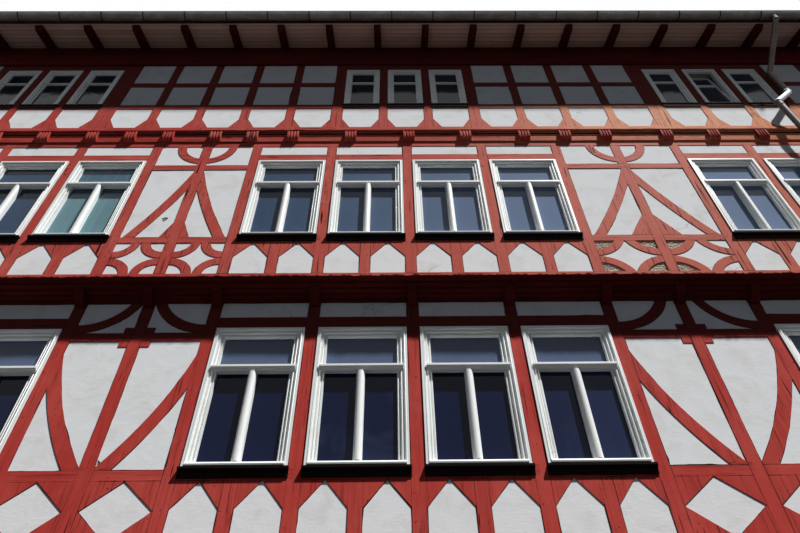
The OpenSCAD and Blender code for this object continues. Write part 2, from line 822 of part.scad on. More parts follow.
module infill_back() placed() color(plaster) {
    across(back_y - wall_d, back_y - timber_d) difference() {
        back_sheet();
        rear_holes(back_centres, 0);
    }
    across(back_y - timber_d, back_y - field_back) difference() {
        back_sheet();
        back_members(ease);
        rear_holes(back_centres, 0);
    }
}

// Windows of the sides and the back, each turned so that its face looks outwards
module rear_row() {
    heights = concat([for (z = [ground_z, first_z, second_z]) z + window_z], [top_z + top_window_z]);
    for (z = heights) {
        for (c = side_centres) {
            translate([left_x, c, z]) rotate([0, 0, -90]) children();
            translate([right_x, c, z]) rotate([0, 0, 90]) children();
        }
        for (c = back_centres) translate([c, back_y, z]) rotate([0, 0, 180]) children();
    }
}

module rear_windows() placed() color(white) rear_row() small_window(rear_window_w - 1, rear_window_h - 1);
module rear_glass() placed() color(pane) rear_row() small_pane(rear_window_w - 1, rear_window_h - 1);

// Floors, with a strip under the front wall that reaches its corners
module floor_slab(y0, z0, t, back) {
    translate([left_x + wall_d, y0, z0]) cube([right_x - left_x - 2 * wall_d, back - y0, t]);
    translate([left_x, y0, z0]) cube([right_x - left_x, wall_d, t]);
}

module upper_floors() placed() color(boards) {
    floor_slab(first_y, first_z - floor_d, floor_d, side_to);
    floor_slab(second_y, second_z - floor_d, floor_d, side_to);
    floor_slab(second_y, top_z - upper_floor_d, upper_floor_d, side_to);
    floor_slab(top_y, top_plate_z, attic_floor_d, side_to);
}

// Plinth: walls of squared stone that stand a little proud of the timbers
plinth_w = wall_d + plinth_out;
plinth_x0 = left_x - plinth_out;
plinth_x1 = right_x + plinth_out;
plinth_y0 = ground_y - plinth_out;
plinth_y1 = back_y + plinth_out;

module plinth_front() placed() color(sandstone)
    for (x = [[plinth_x0, door_from], [door_to, plinth_x1]])
        translate([x[0], plinth_y0, 0]) cube([x[1] - x[0], plinth_w, plinth_h]);

module plinth_sides() placed() color(sandstone)
    for (x = [plinth_x0, plinth_x1 - plinth_w])
        translate([x, plinth_y0 + plinth_w, 0]) cube([plinth_w, plinth_y1 - plinth_y0 - 2 * plinth_w, plinth_h]);

module plinth_back() placed() color(sandstone)
    translate([plinth_x0, plinth_y1 - plinth_w, 0]) cube([plinth_x1 - plinth_x0, plinth_w, plinth_h]);

module ground_floor() placed() color(sandstone) {
    translate([plinth_x0 + plinth_w, plinth_y0 + plinth_w, 0])
        cube([plinth_x1 - plinth_x0 - 2 * plinth_w, plinth_y1 - plinth_y0 - 2 * plinth_w, floor_top]);
    translate([door_from, plinth_y0 - 30, 0]) cube([door_to - door_from, plinth_w + 40, floor_top]);
}

// Frame of the doorway with a light over the door
jamb = 80;
leaf_h = 2190;
leaf_t = 55;
module door_frame() placed() color(oak) {
    top = ground_z + door_head_z;
    bar = floor_top + leaf_h + 10;
    across(ground_y + 30, ground_y + 150) difference() {
        box2(door_from, floor_top, door_to, top);
        box2(door_from + jamb, floor_top - 1, door_to - jamb, bar);
        box2(door_from + jamb, bar + jamb, door_to - jamb, top - jamb);
    }
    across(ground_y + 84, ground_y + 92)
        box2(door_from + jamb - 1, bar + jamb - 1, door_to - jamb + 1, top - jamb + 1);
}

// Leaf of the door, standing open against the hall's air, with its raised fields
module door_leaf() placed() color(oak) {
    x = door_from + jamb - leaf_t;
    y = ground_y + 150;
    w = door_to - door_from - 2 * jamb - 6;
    translate([x, y, floor_top + 4]) difference() {
        cube([leaf_t, w, leaf_h]);
        for (z = [[150, 760], [960, 2040]], side = [-1, leaf_t - 14])
            translate([side, 120, z[0]]) cube([15, w - 240, z[1] - z[0]]);
    }
}

// Moulded cornice under a jetty, with a console at each post
module cornice(y, z) {
    reach = cornice_reach;
    translate([0, y, z]) {
        along(left_x, right_x)
            polygon([[0, -245], [-40, -245], [-40, -210], [-90, -200], [-90, -163], [-jetty - 20, -155],
                     [-jetty - 20, -115], [-215, -105], [-215, -65], [-reach, -45], [-reach, -15],
                     [-jetty, sill_h - 45], [-jetty, -floor_d], [0, -floor_d]]);
        for (i = [0 : len(bays)]) {
            x = max(left_x + 60, min(right_x - 60, post_x(i)));
            along(x - 60, x + 60)
                polygon([[0, -320], [-45, -310], [-110, -260], [-165, -200], [-200, -135], [-215, -65],
                         [-jetty - 1, -65], [-jetty - 1, -floor_d - 1], [0, -floor_d - 1]]);
        }
    }
}

module jetty_cornices() placed() color(shaded) {
    cornice(ground_y, first_z);
    cornice(first_y, second_z);
}

// Ends of the floor beams under the top storey, as shares of the way from the middle to the corners
heads_left = [0.971, 0.893, 0.817, 0.722, 0.626, 0.55, 0.475, 0.381, 0.308, 0.227, 0.112];
heads_right = [0.004, 0.113, 0.226, 0.305, 0.383, 0.502, 0.593, 0.688, 0.783, 0.874, 0.971];
head_xs = concat([for (s = heads_left) left_x * s], [for (s = heads_right) right_x * s]);
head_w = 200;
head_reach = 160;

flutes = 3;
flute_w = 26;
flute_d = 12;

// Side view of a beam head: a round nose above a long hollow throat, drawn smaller by the given cut
module head_profile(cut) {
    nose_r = 62 - cut;
    translate([second_y, 0]) {
        difference() {
            polygon([[0, -upper_floor_d - 75], [cut - 24, -upper_floor_d - 75], [cut - head_reach, -62],
                     [62 - head_reach, 0], [0, 0]]);
            translate([-202 + cut, -232]) circle(134);
        }
        translate([62 - head_reach, -62]) circle(nose_r);
    }
}

module beam_heads() placed() color(faded) for (x = head_xs)
    translate([0, 0, top_z]) difference() {
        along(x - head_w / 2, x + head_w / 2) head_profile(0);
        for (k = [1 : flutes]) {
            middle = x - head_w / 2 + k * head_w / (flutes + 1);
            along(middle - flute_w / 2, middle + flute_w / 2) difference() {
                translate([second_y - 400, -600]) square([400, 601]);
                head_profile(flute_d);
            }
        }
    }

// Boards between the beam heads, with a moulding under the top sill
module filler_boards() placed() color(faded) {
    edges = concat([left_x], [for (x = head_xs) each [x - head_w / 2, x + head_w / 2]], [right_x]);
    y = second_y;
    translate([0, 0, top_z]) for (k = [0 : 2 : len(edges) - 2])
        along(edges[k], edges[k + 1])
            polygon([[y, -upper_floor_d - 15], [y - 30, -upper_floor_d - 15], [y - 34, -95],
                     [y - 14, -88], [y - 14, -62], [y - 60, -52], [y - 80, -30], [y - 80, -12],
                     [y - top_jetty, 0], [y, 0]]);
}

// Board and beam at the head of the top storey, under the flared eaves
module eaves_sides() {
    translate([0, mid_y, 0]) for (s = [0, 1]) mirror([0, s, 0]) mirror([0, 1, 0]) children();
}

module frieze() placed() color(shaded) eaves_sides() along(left_x, right_x)
    polygon([[wall_u, top_plate_z - 230], [wall_u + board_t, top_plate_z - 230],
             [wall_u + board_t, soffit_z(wall_u + board_t)], [beam_u, soffit_z(beam_u)],
             [beam_u, attic_z], [wall_u, attic_z]]);

// Ends of the rafters below the eaves, their lower corners hollowed
first_rafter = left_x + rafter_gap * 0.3;
rafters = floor((right_x - 100 - first_rafter) / rafter_gap);
module rafter_tails() placed() color(shaded) eaves_sides() for (i = [0 : rafters]) {
    x = first_rafter + i * rafter_gap;
    u0 = wall_u + board_t;
    u1 = tip_u - 40;
    along(x - 70, x + 70) difference() {
        polygon([[u0, soffit_z(u0)], [u0, soffit_z(u0) - 150], [u0 + 180, soffit_z(u0 + 180) - 135],
                 [u1, soffit_z(u1) - 120], [u1, soffit_z(u1)]]);
        translate([u1 + 10, soffit_z(u1) - 145]) circle(95);
    }
}

module soffit_boards() placed() color(boards) eaves_sides() along(left_x - verge, right_x + verge)
    polygon([[beam_u, soffit_z(beam_u)], [tip_u - 20, soffit_z(tip_u - 20)],
             [tip_u - 20, deck_z(tip_u - 20)], [beam_u, deck_z(beam_u)]]);

module eaves_roof() placed() color(clay) eaves_sides() along(left_x - verge, right_x + verge)
    polygon([[kink_u, deck_z(kink_u)], [tip_u, deck_z(tip_u)], [tip_u, deck_z(tip_u) + eaves_rise],
             [top_kink_u, top_kink_z]]);

module roof_slope() along(left_x - verge, right_x + verge)
    polygon([[kink_u, deck_z(kink_u)], [top_kink_u, top_kink_z], [0, slope_z(0) + slope_rise],
             [0, slope_z(0)]]);

module roof_front() placed() color(clay) translate([0, mid_y, 0]) mirror([0, 1, 0]) roof_slope();
module roof_back() placed() color(clay) translate([0, mid_y, 0]) roof_slope();

module ridge_tiles() placed() color(clay) translate([0, mid_y, slope_z(0) + slope_rise])
    along(left_x - verge, right_x + verge) {
        half = 190;
        drop = half * tan(roof_pitch);
        polygon([[0, 0], [half, -drop], [half + 20, 40 - drop], [95, 30], [45, 75], [-45, 75], [-95, 30],
                 [-half - 20, 40 - drop], [-half, -drop]]);
    }

// Half-round gutters with a bead along the outer edge and closed ends
module gutters() placed() color(zinc) translate([left_x - verge, mid_y, gutter_z]) for (s = [0, 1]) mirror([0, s, 0])
    translate([0, -tip_u - gutter_r, 0]) rotate([90, 0, 90]) {
        length = right_x - left_x + 2 * verge;
        linear_extrude(length) {
            difference() {
                circle(gutter_r);
                circle(gutter_r - 6);
                box2(-2 * gutter_r, 0, 2 * gutter_r, 2 * gutter_r);
            }
            translate([-gutter_r + 4, 0]) circle(10);
            box2(gutter_r - 12, -40, gutter_r, 0);
        }
        for (z = [0, length - 5]) translate([0, 0, z]) linear_extrude(5) difference() {
            circle(gutter_r);
            box2(-2 * gutter_r, 0, 2 * gutter_r, 2 * gutter_r);
        }
    }

// Downpipe: from the gutter back to the top storey, round the jog over its sill, then straight down
module rod_between(a, b, r) {
    d = b - a;
    l = norm(d);
    translate(a) rotate([0, acos(d[2] / l), atan2(d[1], d[0])]) cylinder(r = r, h = l);
}

module pipe_holder(x, y, z, wall_y) {
    translate([x, y, z]) {
        cylinder(r = pipe_r + 6, h = 35);
        translate([-8, 0, 10]) cube([16, wall_y - y, 16]);
    }
}

module downpipe() placed() color(zinc) {
    x0 = post_x(14) + 225;
    x1 = post_x(14) - 228;
    near_y = top_y - pipe_r - 40;
    far_y = first_y - cornice_reach - pipe_r - 12;
    outlet = [x0 + 315, mid_y - tip_u - gutter_r, gutter_z - gutter_r - 2];
    path = [outlet, outlet - [0, 0, 120], [x0, near_y, top_z + 1980], [x0, near_y, top_z + 1180],
            [x1, far_y, top_z + 705], [x1, far_y, 30]];
    head_z = window_z + lower_window_h + 60;
    for (i = [0 : len(path) - 2]) {
        rod_between(path[i], path[i + 1], pipe_r);
        if (i > 0) translate(path[i]) sphere(pipe_r + 6);
    }
    pipe_holder(x0, near_y, top_z + 1500, top_y);
    pipe_holder(x1, far_y, second_z + head_z, second_y);
    pipe_holder(x1, far_y, first_z + head_z, first_y);
    pipe_holder(x1, far_y, ground_z + head_z, ground_y);
}

ground_floor();
plinth_front();
plinth_sides();
plinth_back();
frame_ground();
infill_ground();
windows_ground();
glass_ground();
sills_ground();
door_frame();
door_leaf();
frame_first();
infill_first();
windows_first();
glass_first();
sills_first();
frame_second();
infill_second();
windows_second();
glass_second();
sills_second();
frame_top();
infill_top();
windows_top();
glass_top();
sills_top();
jetty_cornices();
beam_heads();
filler_boards();
upper_floors();
frame_left();
infill_left();
frame_right();
infill_right();
frame_back();
infill_back();
rear_windows();
rear_glass();
frieze();
rafter_tails();
soffit_boards();
eaves_roof();
roof_front();
roof_back();
ridge_tiles();
gutters();
downpipe();
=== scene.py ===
"""Looks of a half-timbered town house of four storeys: finishes, joinery, stone, tiles, light and view."""
import logging
import math
import random
from dataclasses import dataclass, field
from enum import Enum
from functools import cached_property
from typing import Iterable, Sequence

import bpy
from mathutils import Matrix, Vector, noise


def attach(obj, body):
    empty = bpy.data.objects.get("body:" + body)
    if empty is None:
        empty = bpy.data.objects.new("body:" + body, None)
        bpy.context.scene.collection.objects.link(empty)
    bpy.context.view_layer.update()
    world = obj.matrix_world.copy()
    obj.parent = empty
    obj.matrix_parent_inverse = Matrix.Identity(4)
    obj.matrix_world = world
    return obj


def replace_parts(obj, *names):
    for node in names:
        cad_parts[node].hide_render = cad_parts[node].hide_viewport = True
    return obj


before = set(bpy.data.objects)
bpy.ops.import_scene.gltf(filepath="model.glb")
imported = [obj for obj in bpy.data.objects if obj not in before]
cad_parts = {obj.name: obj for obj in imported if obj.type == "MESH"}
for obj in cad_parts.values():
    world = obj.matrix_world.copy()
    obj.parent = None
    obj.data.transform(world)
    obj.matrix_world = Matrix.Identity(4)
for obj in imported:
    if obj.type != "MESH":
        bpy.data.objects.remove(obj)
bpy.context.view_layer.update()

NODES: dict[str, bpy.types.Object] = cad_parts
LOG = logging.getLogger("house")

Colour = tuple[float, float, float]
Span = tuple[float, float]
Point = Sequence[float]


def swatch(red: int, green: int, blue: int) -> Colour:
    """Turn a colour of a painter's chart into the light that it gives back.

    Args:
        red: Red of the swatch, 0 to 255.
        green: Green of the swatch, 0 to 255.
        blue: Blue of the swatch, 0 to 255.

    Returns:
        The colour as linear shares of light.
    """
    def share(value: int) -> float:
        """Return one channel as a linear share."""
        part = value / 255
        return part / 12.92 if part <= 0.04045 else ((part + 0.055) / 1.055) ** 2.4
    return share(red), share(green), share(blue)


class Term:
    """A value in a shader; its operators add the Math nodes that work it out."""

    def __init__(self, shader: "Shader", socket: bpy.types.NodeSocket) -> None:
        """Keep the shader and the output that holds the value."""
        self.shader = shader
        self.socket = socket

    def _math(self, operation: str, left: "Operand", right: "Operand" = 0.0) -> "Term":
        """Return the outcome of one Math node on two values."""
        return self.shader.node("ShaderNodeMath", {"operation": operation}, {0: left, 1: right})

    def __add__(self, other: "Operand") -> "Term":
        """Return the sum."""
        return self._math("ADD", self, other)

    def __sub__(self, other: "Operand") -> "Term":
        """Return this less the other."""
        return self._math("SUBTRACT", self, other)

    def __rsub__(self, other: "Operand") -> "Term":
        """Return the other less this."""
        return self._math("SUBTRACT", other, self)

    def __mul__(self, other: "Operand") -> "Term":
        """Return the product."""
        return self._math("MULTIPLY", self, other)

    def __truediv__(self, other: "Operand") -> "Term":
        """Return this over the other."""
        return self._math("DIVIDE", self, other)

    def __rtruediv__(self, other: "Operand") -> "Term":
        """Return the other over this."""
        return self._math("DIVIDE", other, self)

    def __abs__(self) -> "Term":
        """Return the size without its sign."""
        return self._math("ABSOLUTE", self)

    def __or__(self, other: "Operand") -> "Term":
        """Return the larger of the two."""
        return self._math("MAXIMUM", self, other)

    def __and__(self, other: "Operand") -> "Term":
        """Return the smaller of the two."""
        return self._math("MINIMUM", self, other)

    def __gt__(self, limit: "Operand") -> "Term":
        """Return 1 where this is over the limit, else 0."""
        return self._math("GREATER_THAN", self, limit)

    def __lt__(self, limit: "Operand") -> "Term":
        """Return 1 where this is under the limit, else 0."""
        return self._math("LESS_THAN", self, limit)

    __radd__ = __add__
    __rmul__ = __mul__

    def floor(self) -> "Term":
        """Return the whole number below."""
        return self._math("FLOOR", self)

    def part(self) -> "Term":
        """Return what is left over the whole number below."""
        return self._math("FRACT", self)

    def fade(self, low: float, high: float) -> "Term":
        """Return 0 below low, 1 above high and a soft passage between; high may be the lower one."""
        return self.shader.node("ShaderNodeMapRange", {"interpolation_type": "SMOOTHSTEP"},
                                {0: self, 1: low, 2: high})

    def other(self, output: int | str) -> "Term":
        """Return another output of the node that gives this one."""
        return Term(self.shader, self.socket.node.outputs[output])


Operand = Term | float


class Shader:
    """The node tree of one material, or of the world."""

    STOPS = 30

    def __init__(self, owner: bpy.types.Material | bpy.types.World) -> None:
        """Empty the owner's tree.

        Args:
            owner: The material or the world that the tree belongs to.
        """
        owner.use_nodes = True
        self.tree = owner.node_tree
        self.tree.nodes.clear()

    @cached_property
    def place(self) -> Term:
        """Return the place in the house's own metres."""
        return self.node("ShaderNodeTexCoord", {}, {}, "Object")

    @cached_property
    def x(self) -> Term:
        """Return the place along the front."""
        return self.node("ShaderNodeSeparateXYZ", {}, {0: self.place})

    @cached_property
    def y(self) -> Term:
        """Return the place into the house."""
        return self.x.other(1)

    @cached_property
    def z(self) -> Term:
        """Return the height."""
        return self.x.other(2)

    def add(self, kind: str, settings: dict[str, object], values: dict[int | str, object]) -> bpy.types.Node:
        """Add any node to the tree.

        Args:
            kind: Blender's name for the node's type.
            settings: What is set first: the node's own choices, and "stops" for a ramp.
            values: The value or the Term for each socket, by its place or name.

        Returns:
            The node.
        """
        made = self.tree.nodes.new(kind)
        for name, choice in settings.items():
            if name == "stops":
                self._set_stops(made.color_ramp, choice)
            else:
                setattr(made, name, choice)
        for name, value in values.items():
            socket = made.inputs[name]
            if isinstance(value, Term):
                self.tree.links.new(value.socket, socket)
            elif socket.type == "RGBA":
                socket.default_value = (*value, 1.0)
            else:
                socket.default_value = value
        return made

    def node(self, kind: str, settings: dict[str, object], values: dict[int | str, object],
             output: int | str = 0) -> Term:
        """Add any node and return one of its outputs."""
        return Term(self, self.add(kind, settings, values).outputs[output])

    @staticmethod
    def _set_stops(ramp: bpy.types.ColorRamp, stops: Sequence[tuple[float, float]]) -> None:
        """Give a ramp its grey stops, which hold their value up to the next one.

        Args:
            ramp: The ramp, as Blender makes it.
            stops: The place and the grey of each stop.
        """
        ramp.interpolation = "CONSTANT"
        ramp.elements.remove(ramp.elements[1])
        ramp.elements[0].position = 0.0
        ramp.elements[0].color = (0.0, 0.0, 0.0, 1.0)
        for place, grey in stops:
            ramp.elements.new(place).color = (grey, grey, grey, 1.0)

    def stretch(self, factors: Point, vector: Term | None = None) -> Term:
        """Return the place, or another vector, with each axis multiplied."""
        return self.node("ShaderNodeVectorMath", {"operation": "MULTIPLY"},
                         {0: vector or self.place, 1: tuple(factors)})

    def clouds(self, scale: float, detail: float = 3.0, rough: float = 0.5, vector: Term | None = None,
               swirl: float = 0.0) -> Term:
        """Add a soft noise.

        Args:
            scale: Blots a metre.
            detail: How many finer layers it has.
            rough: How strong the finer layers are.
            vector: The place, where it isn't the house's own.
            swirl: How far it is bent.

        Returns:
            The noise, between 0 and 1.
        """
        return self.node("ShaderNodeTexNoise", {}, {
            "Vector": vector or self.place, "Scale": scale, "Detail": detail, "Roughness": rough,
            "Distortion": swirl})

    def cells(self, scale: float, feature: str = "F1", vector: Term | None = None,
              output: str = "Distance") -> Term:
        """Return a cell pattern: the way to a cell's middle or edge, or its own random colour."""
        return self.node("ShaderNodeTexVoronoi", {"feature": feature},
                         {"Vector": vector or self.place, "Scale": scale}, output)

    def own_tint(self) -> Term:
        """Return the tint that the mesh gives each stone or tile."""
        return self.node("ShaderNodeAttribute", {"attribute_name": "tint"}, {}, "Fac")

    def chance(self, a: Operand, b: Operand = 0.0) -> Term:
        """Return a random value between 0 and 1 that belongs to a pair of whole numbers."""
        pair = self.node("ShaderNodeCombineXYZ", {}, {0: a, 1: b})
        return self.node("ShaderNodeTexWhiteNoise", {"noise_dimensions": "2D"}, {"Vector": pair})

    def bands(self, value: Term, spans: Sequence[Span]) -> Term:
        """Return 1 where a value lies in one of the spans, else 0.

        Args:
            value: The value.
            spans: The spans in rising order. A ramp takes few stops, so they share several ramps.

        Returns:
            The mask.
        """
        start, end = spans[0][0] - 1.0, spans[-1][1] + 1.0
        share = (value - start) / (end - start)
        total: Operand = 0.0
        half = self.STOPS // 2
        for first in range(0, len(spans), half):
            stops = [((edge - start) / (end - start), 1.0 - k)
                     for span in spans[first:first + half] for k, edge in enumerate(span)]
            total = self.node("ShaderNodeValToRGB", {"stops": stops}, {0: share}) + total
        return total

    def mix(self, first: object, second: object, share: Operand) -> Term:
        """Return the passage from one colour to another."""
        return self.node("ShaderNodeMix", {"data_type": "RGBA"}, {0: share, 6: first, 7: second}, 2)

    def blend(self, first: Operand, second: Operand, share: Operand) -> Term:
        """Return the passage from one number to another."""
        return self.node("ShaderNodeMix", {"data_type": "FLOAT"}, {0: share, 2: first, 3: second}, 0)

    def surface(self, colour: object, rough: Operand, reliefs: Iterable[tuple[Term, float]] = (),
                metal: Operand = 0.0, coat: float = 0.0, gloss: float = 0.5) -> None:
        """Close the tree with the surface itself.

        Args:
            colour: The base colour.
            rough: The roughness.
            reliefs: Heights between 0 and 1 with the depth of each in metres.
            metal: The share of bare metal.
            coat: The weight of a clear coat.
            gloss: How strongly the surface mirrors head on.
        """
        values: dict[int | str, object] = {
            "Base Color": colour, "Roughness": rough, "Metallic": metal, "Coat Weight": coat,
            "Specular IOR Level": gloss}
        normal: Term | None = None
        for height, depth in reliefs:
            given = {"Height": height, "Distance": depth, "Strength": 1.0}
            if normal:
                given["Normal"] = normal
            normal = self.node("ShaderNodeBump", {}, given)
        if normal:
            values["Normal"] = normal
        shade = self.node("ShaderNodeBsdfPrincipled", {}, values)
        self.add("ShaderNodeOutputMaterial", {}, {"Surface": shade})


MADE: dict[str, bpy.types.Material] = {}


@dataclass(frozen=True)
class Finish:
    """What every finish has: its own name and the record's slot that it belongs to."""

    name: str
    slot: str

    def lay(self, shader: Shader) -> None:
        """Build the finish's nodes in a material's tree."""
        raise NotImplementedError(self.name)

    def material(self) -> bpy.types.Material:
        """Give the finish's material, made on first use.

        Returns:
            The material.
        """
        if self.name not in MADE:
            MADE[self.name] = bpy.data.materials.new(self.name)
            self.lay(Shader(MADE[self.name]))
        return MADE[self.name]

    def dress(self, *nodes: str) -> None:
        """Put the finish on nodes of the frame.

        Args:
            *nodes: Their names.
        """
        for node in nodes:
            for holder in NODES[node].material_slots:
                holder.material = self.material()


class Grain(Enum):
    """Which way the fibres of a timber run."""

    UPRIGHT = "upright"
    LEVEL = "level"
    FRAMED = "framed"


@dataclass(frozen=True)
class PaintedTimber(Finish):
    """Matt oxide paint on old oak, with grain, drying cracks, knots, chips, a bleached reach partly
    brightened as painted sunlight, and painted shade where the shadows of the jetty and the eaves fall.
    """

    tone: Colour = swatch(178, 62, 54)
    pale: Colour = swatch(196, 84, 72)
    bare: Colour = swatch(92, 56, 44)
    grain: Grain = Grain.UPRIGHT
    rails: tuple[Span, ...] = ()
    posts: tuple[Span, ...] = ()
    level_axis: int = 0
    wear: float = 0.4
    bleach: float = 0.0
    painted_shade_reach: Span = (0.0, 0.0)
    gap_tone: Colour = swatch(54, 26, 24)
    painted_shade_tone: Colour = swatch(94, 40, 38)
    paled_tone: Colour = swatch(214, 134, 106)
    sunlit_bleach_tone: Colour = swatch(226, 150, 104)

    def lay(self, shader: Shader) -> None:
        """Build the paint over the grain, bleached in the sun with painted sunlight on it, and with painted
        shade where the shadows of the jetty and the eaves fall.

        Args:
            shader: The material's tree.
        """
        level = self._level(shader)
        fine = self._along(shader, level, 42.0, 1.6, 5.0)
        coarse = self._along(shader, level, 13.0, 0.55, 2.0)
        split = self._along(shader, level, 34.0, 1.3, 1.2, 0.5)
        patch = shader.clouds(0.9, 2.0)
        blot = shader.clouds(7.0, 3.0)
        crack = split.fade(0.70 - 0.03 * self.wear, 0.73 - 0.03 * self.wear) * patch.fade(0.31, 0.45)
        hair = fine.fade(0.61, 0.67) * blot.fade(0.36, 0.52) * (0.25 + 0.75 * self.wear)
        knot = shader.cells(2.1).fade(0.055, 0.03) * shader.cells(2.1, output="Color").fade(0.62, 0.66)
        chip = shader.clouds(26.0, 4.0, 0.6).fade(0.70 - 0.08 * self.wear, 0.73 - 0.08 * self.wear) \
            * (patch + fine * 0.4).fade(0.62, 0.78)
        worn = (coarse.fade(0.58, 0.80) * blot.fade(0.40, 0.75)) * self.wear
        colour = shader.mix(self.tone, self.pale, patch.fade(0.35, 0.68) * 0.6 + blot.fade(0.4, 0.8) * 0.4)
        colour = shader.mix(colour, tuple(v * 0.5 for v in self.tone), fine.fade(0.50, 0.76) * 0.6)
        streak = (level * 0.6 + 0.4) * (coarse.fade(0.42, 0.60) * 0.5)
        colour = shader.mix(colour, tuple(v * 0.6 for v in self.tone), streak)
        if self.bleach:
            colour = shader.mix(colour, self.paled_tone, shader.x.fade(-4.5, 6.0) * 0.42)
            # Bleached paint, made paler still as painted sunlight, and stopped at the eaves' shadow line near
            # 12.2 m.
            sunlit_bleach = shader.x.fade(0.2, 4.2) * shader.z.fade(10.9, 11.2) * shader.z.fade(12.30, 12.22)
            sunlit_bleach = sunlit_bleach * (coarse * 0.9 + blot * 0.7).fade(0.50, 0.84) * self.bleach
            colour = shader.mix(colour, self.sunlit_bleach_tone, sunlit_bleach)
        # Painted shade: above the shadow line of the jetty or the eaves the paint turns dark maroon.
        low, high = self.painted_shade_reach
        if high > low:
            painted_shade = shader.z.fade(low, low + 0.10) * (shader.z < high)
            colour = shader.mix(colour, self.painted_shade_tone, painted_shade * 0.92)
        colour = shader.mix(colour, self.bare, worn * 0.5)
        colour = shader.mix(colour, self.gap_tone, ((crack | chip * 0.8) | hair * 0.75) | knot * 0.7)
        rough = shader.blend(0.56, 0.82, fine * 0.5 + worn)
        shader.surface(colour, rough, [(fine, 0.0016), (coarse, 0.003), (1.0 - (crack | chip), 0.004)],
                       gloss=0.02)

    def _level(self, shader: Shader) -> Operand:
        """Mask the timbers whose grain runs level.

        Args:
            shader: The material's tree.

        Returns:
            1 where the grain runs level and 0 where it stands upright.
        """
        if self.grain is not Grain.FRAMED:
            return 1.0 if self.grain is Grain.LEVEL else 0.0
        along = shader.y if self.level_axis else shader.x
        return shader.bands(shader.z, self.rails) * (1.0 - shader.bands(along, self.posts))

    def _along(self, shader: Shader, level: Operand, across: float, length: float, detail: float,
               swirl: float = 0.3) -> Term:
        """Draw out a noise along the fibres.

        Args:
            shader: The material's tree.
            level: 1 where the fibres run level and 0 where they stand upright.
            across: Blots a metre across the fibres.
            length: Blots a metre along them.
            detail: How many finer layers the noise has.
            swirl: How far it is bent.

        Returns:
            The noise.
        """
        upright = (across, across, length)
        lying = (across, length, across) if self.level_axis else (length, across, across)
        if isinstance(level, float):
            return shader.clouds(1.0, detail, 0.55, shader.stretch(lying if level else upright), swirl)
        return shader.blend(shader.clouds(1.0, detail, 0.55, shader.stretch(upright), swirl),
                            shader.clouds(1.0, detail, 0.55, shader.stretch(lying), swirl), level)


@dataclass(frozen=True)
class LimePlaster(Finish):
    """Brushed lime plaster with stains and a few hair cracks."""

    tone: Colour = swatch(238, 238, 238)

    def lay(self, shader: Shader) -> None:
        """Build the mottled coat and its cracks.

        Args:
            shader: The material's tree.
        """
        broad = shader.clouds(0.55, 3.0)
        blot = shader.clouds(3.2, 4.0, 0.6, swirl=0.4)
        brush = shader.clouds(1.0, 4.0, 0.6, shader.stretch((9.0, 30.0, 46.0)), 0.5)
        grit = shader.clouds(160.0, 2.0)
        bent = shader.node("ShaderNodeVectorMath", {"operation": "ADD"}, {
            0: shader.place, 1: shader.stretch((0.5, 0.5, 0.5), shader.clouds(2.2, 3.0).other("Color"))})
        crack = shader.cells(1.15, "DISTANCE_TO_EDGE", bent).fade(0.0040, 0.0015) * broad.fade(0.63, 0.68)
        colour = shader.mix(self.tone, swatch(225, 223, 219), blot.fade(0.45, 0.75) * 0.8)
        colour = shader.mix(colour, swatch(206, 201, 192), (broad * 0.5 + blot * 0.5).fade(0.58, 0.80) * 0.5)
        colour = shader.mix(colour, swatch(246, 246, 246), brush.fade(0.55, 0.8) * 0.2)
        colour = shader.mix(colour, swatch(128, 122, 116), crack * 0.75)
        shader.surface(colour, 0.9, [(brush, 0.0009), (grit, 0.0005), (blot, 0.004), (1.0 - crack, 0.002)],
                       gloss=0.04)


@dataclass(frozen=True)
class WhitePaint(Finish):
    """Off-white gloss paint on joinery, a little dusty."""

    tone: Colour = swatch(238, 240, 237)

    def lay(self, shader: Shader) -> None:
        """Build the paint with its brush marks.

        Args:
            shader: The material's tree.
        """
        dust = shader.clouds(2.6, 4.0, 0.6)
        marks = shader.clouds(1.0, 3.0, 0.5, shader.stretch((70.0, 70.0, 6.0)))
        colour = shader.mix(self.tone, swatch(222, 220, 212), dust.fade(0.48, 0.78) * 0.6)
        colour = shader.mix(colour, swatch(200, 196, 184), (dust * marks).fade(0.36, 0.5) * 0.2)
        shader.surface(colour, shader.blend(0.36, 0.52, dust), [(marks, 0.0003)], coat=0.05, gloss=0.3)


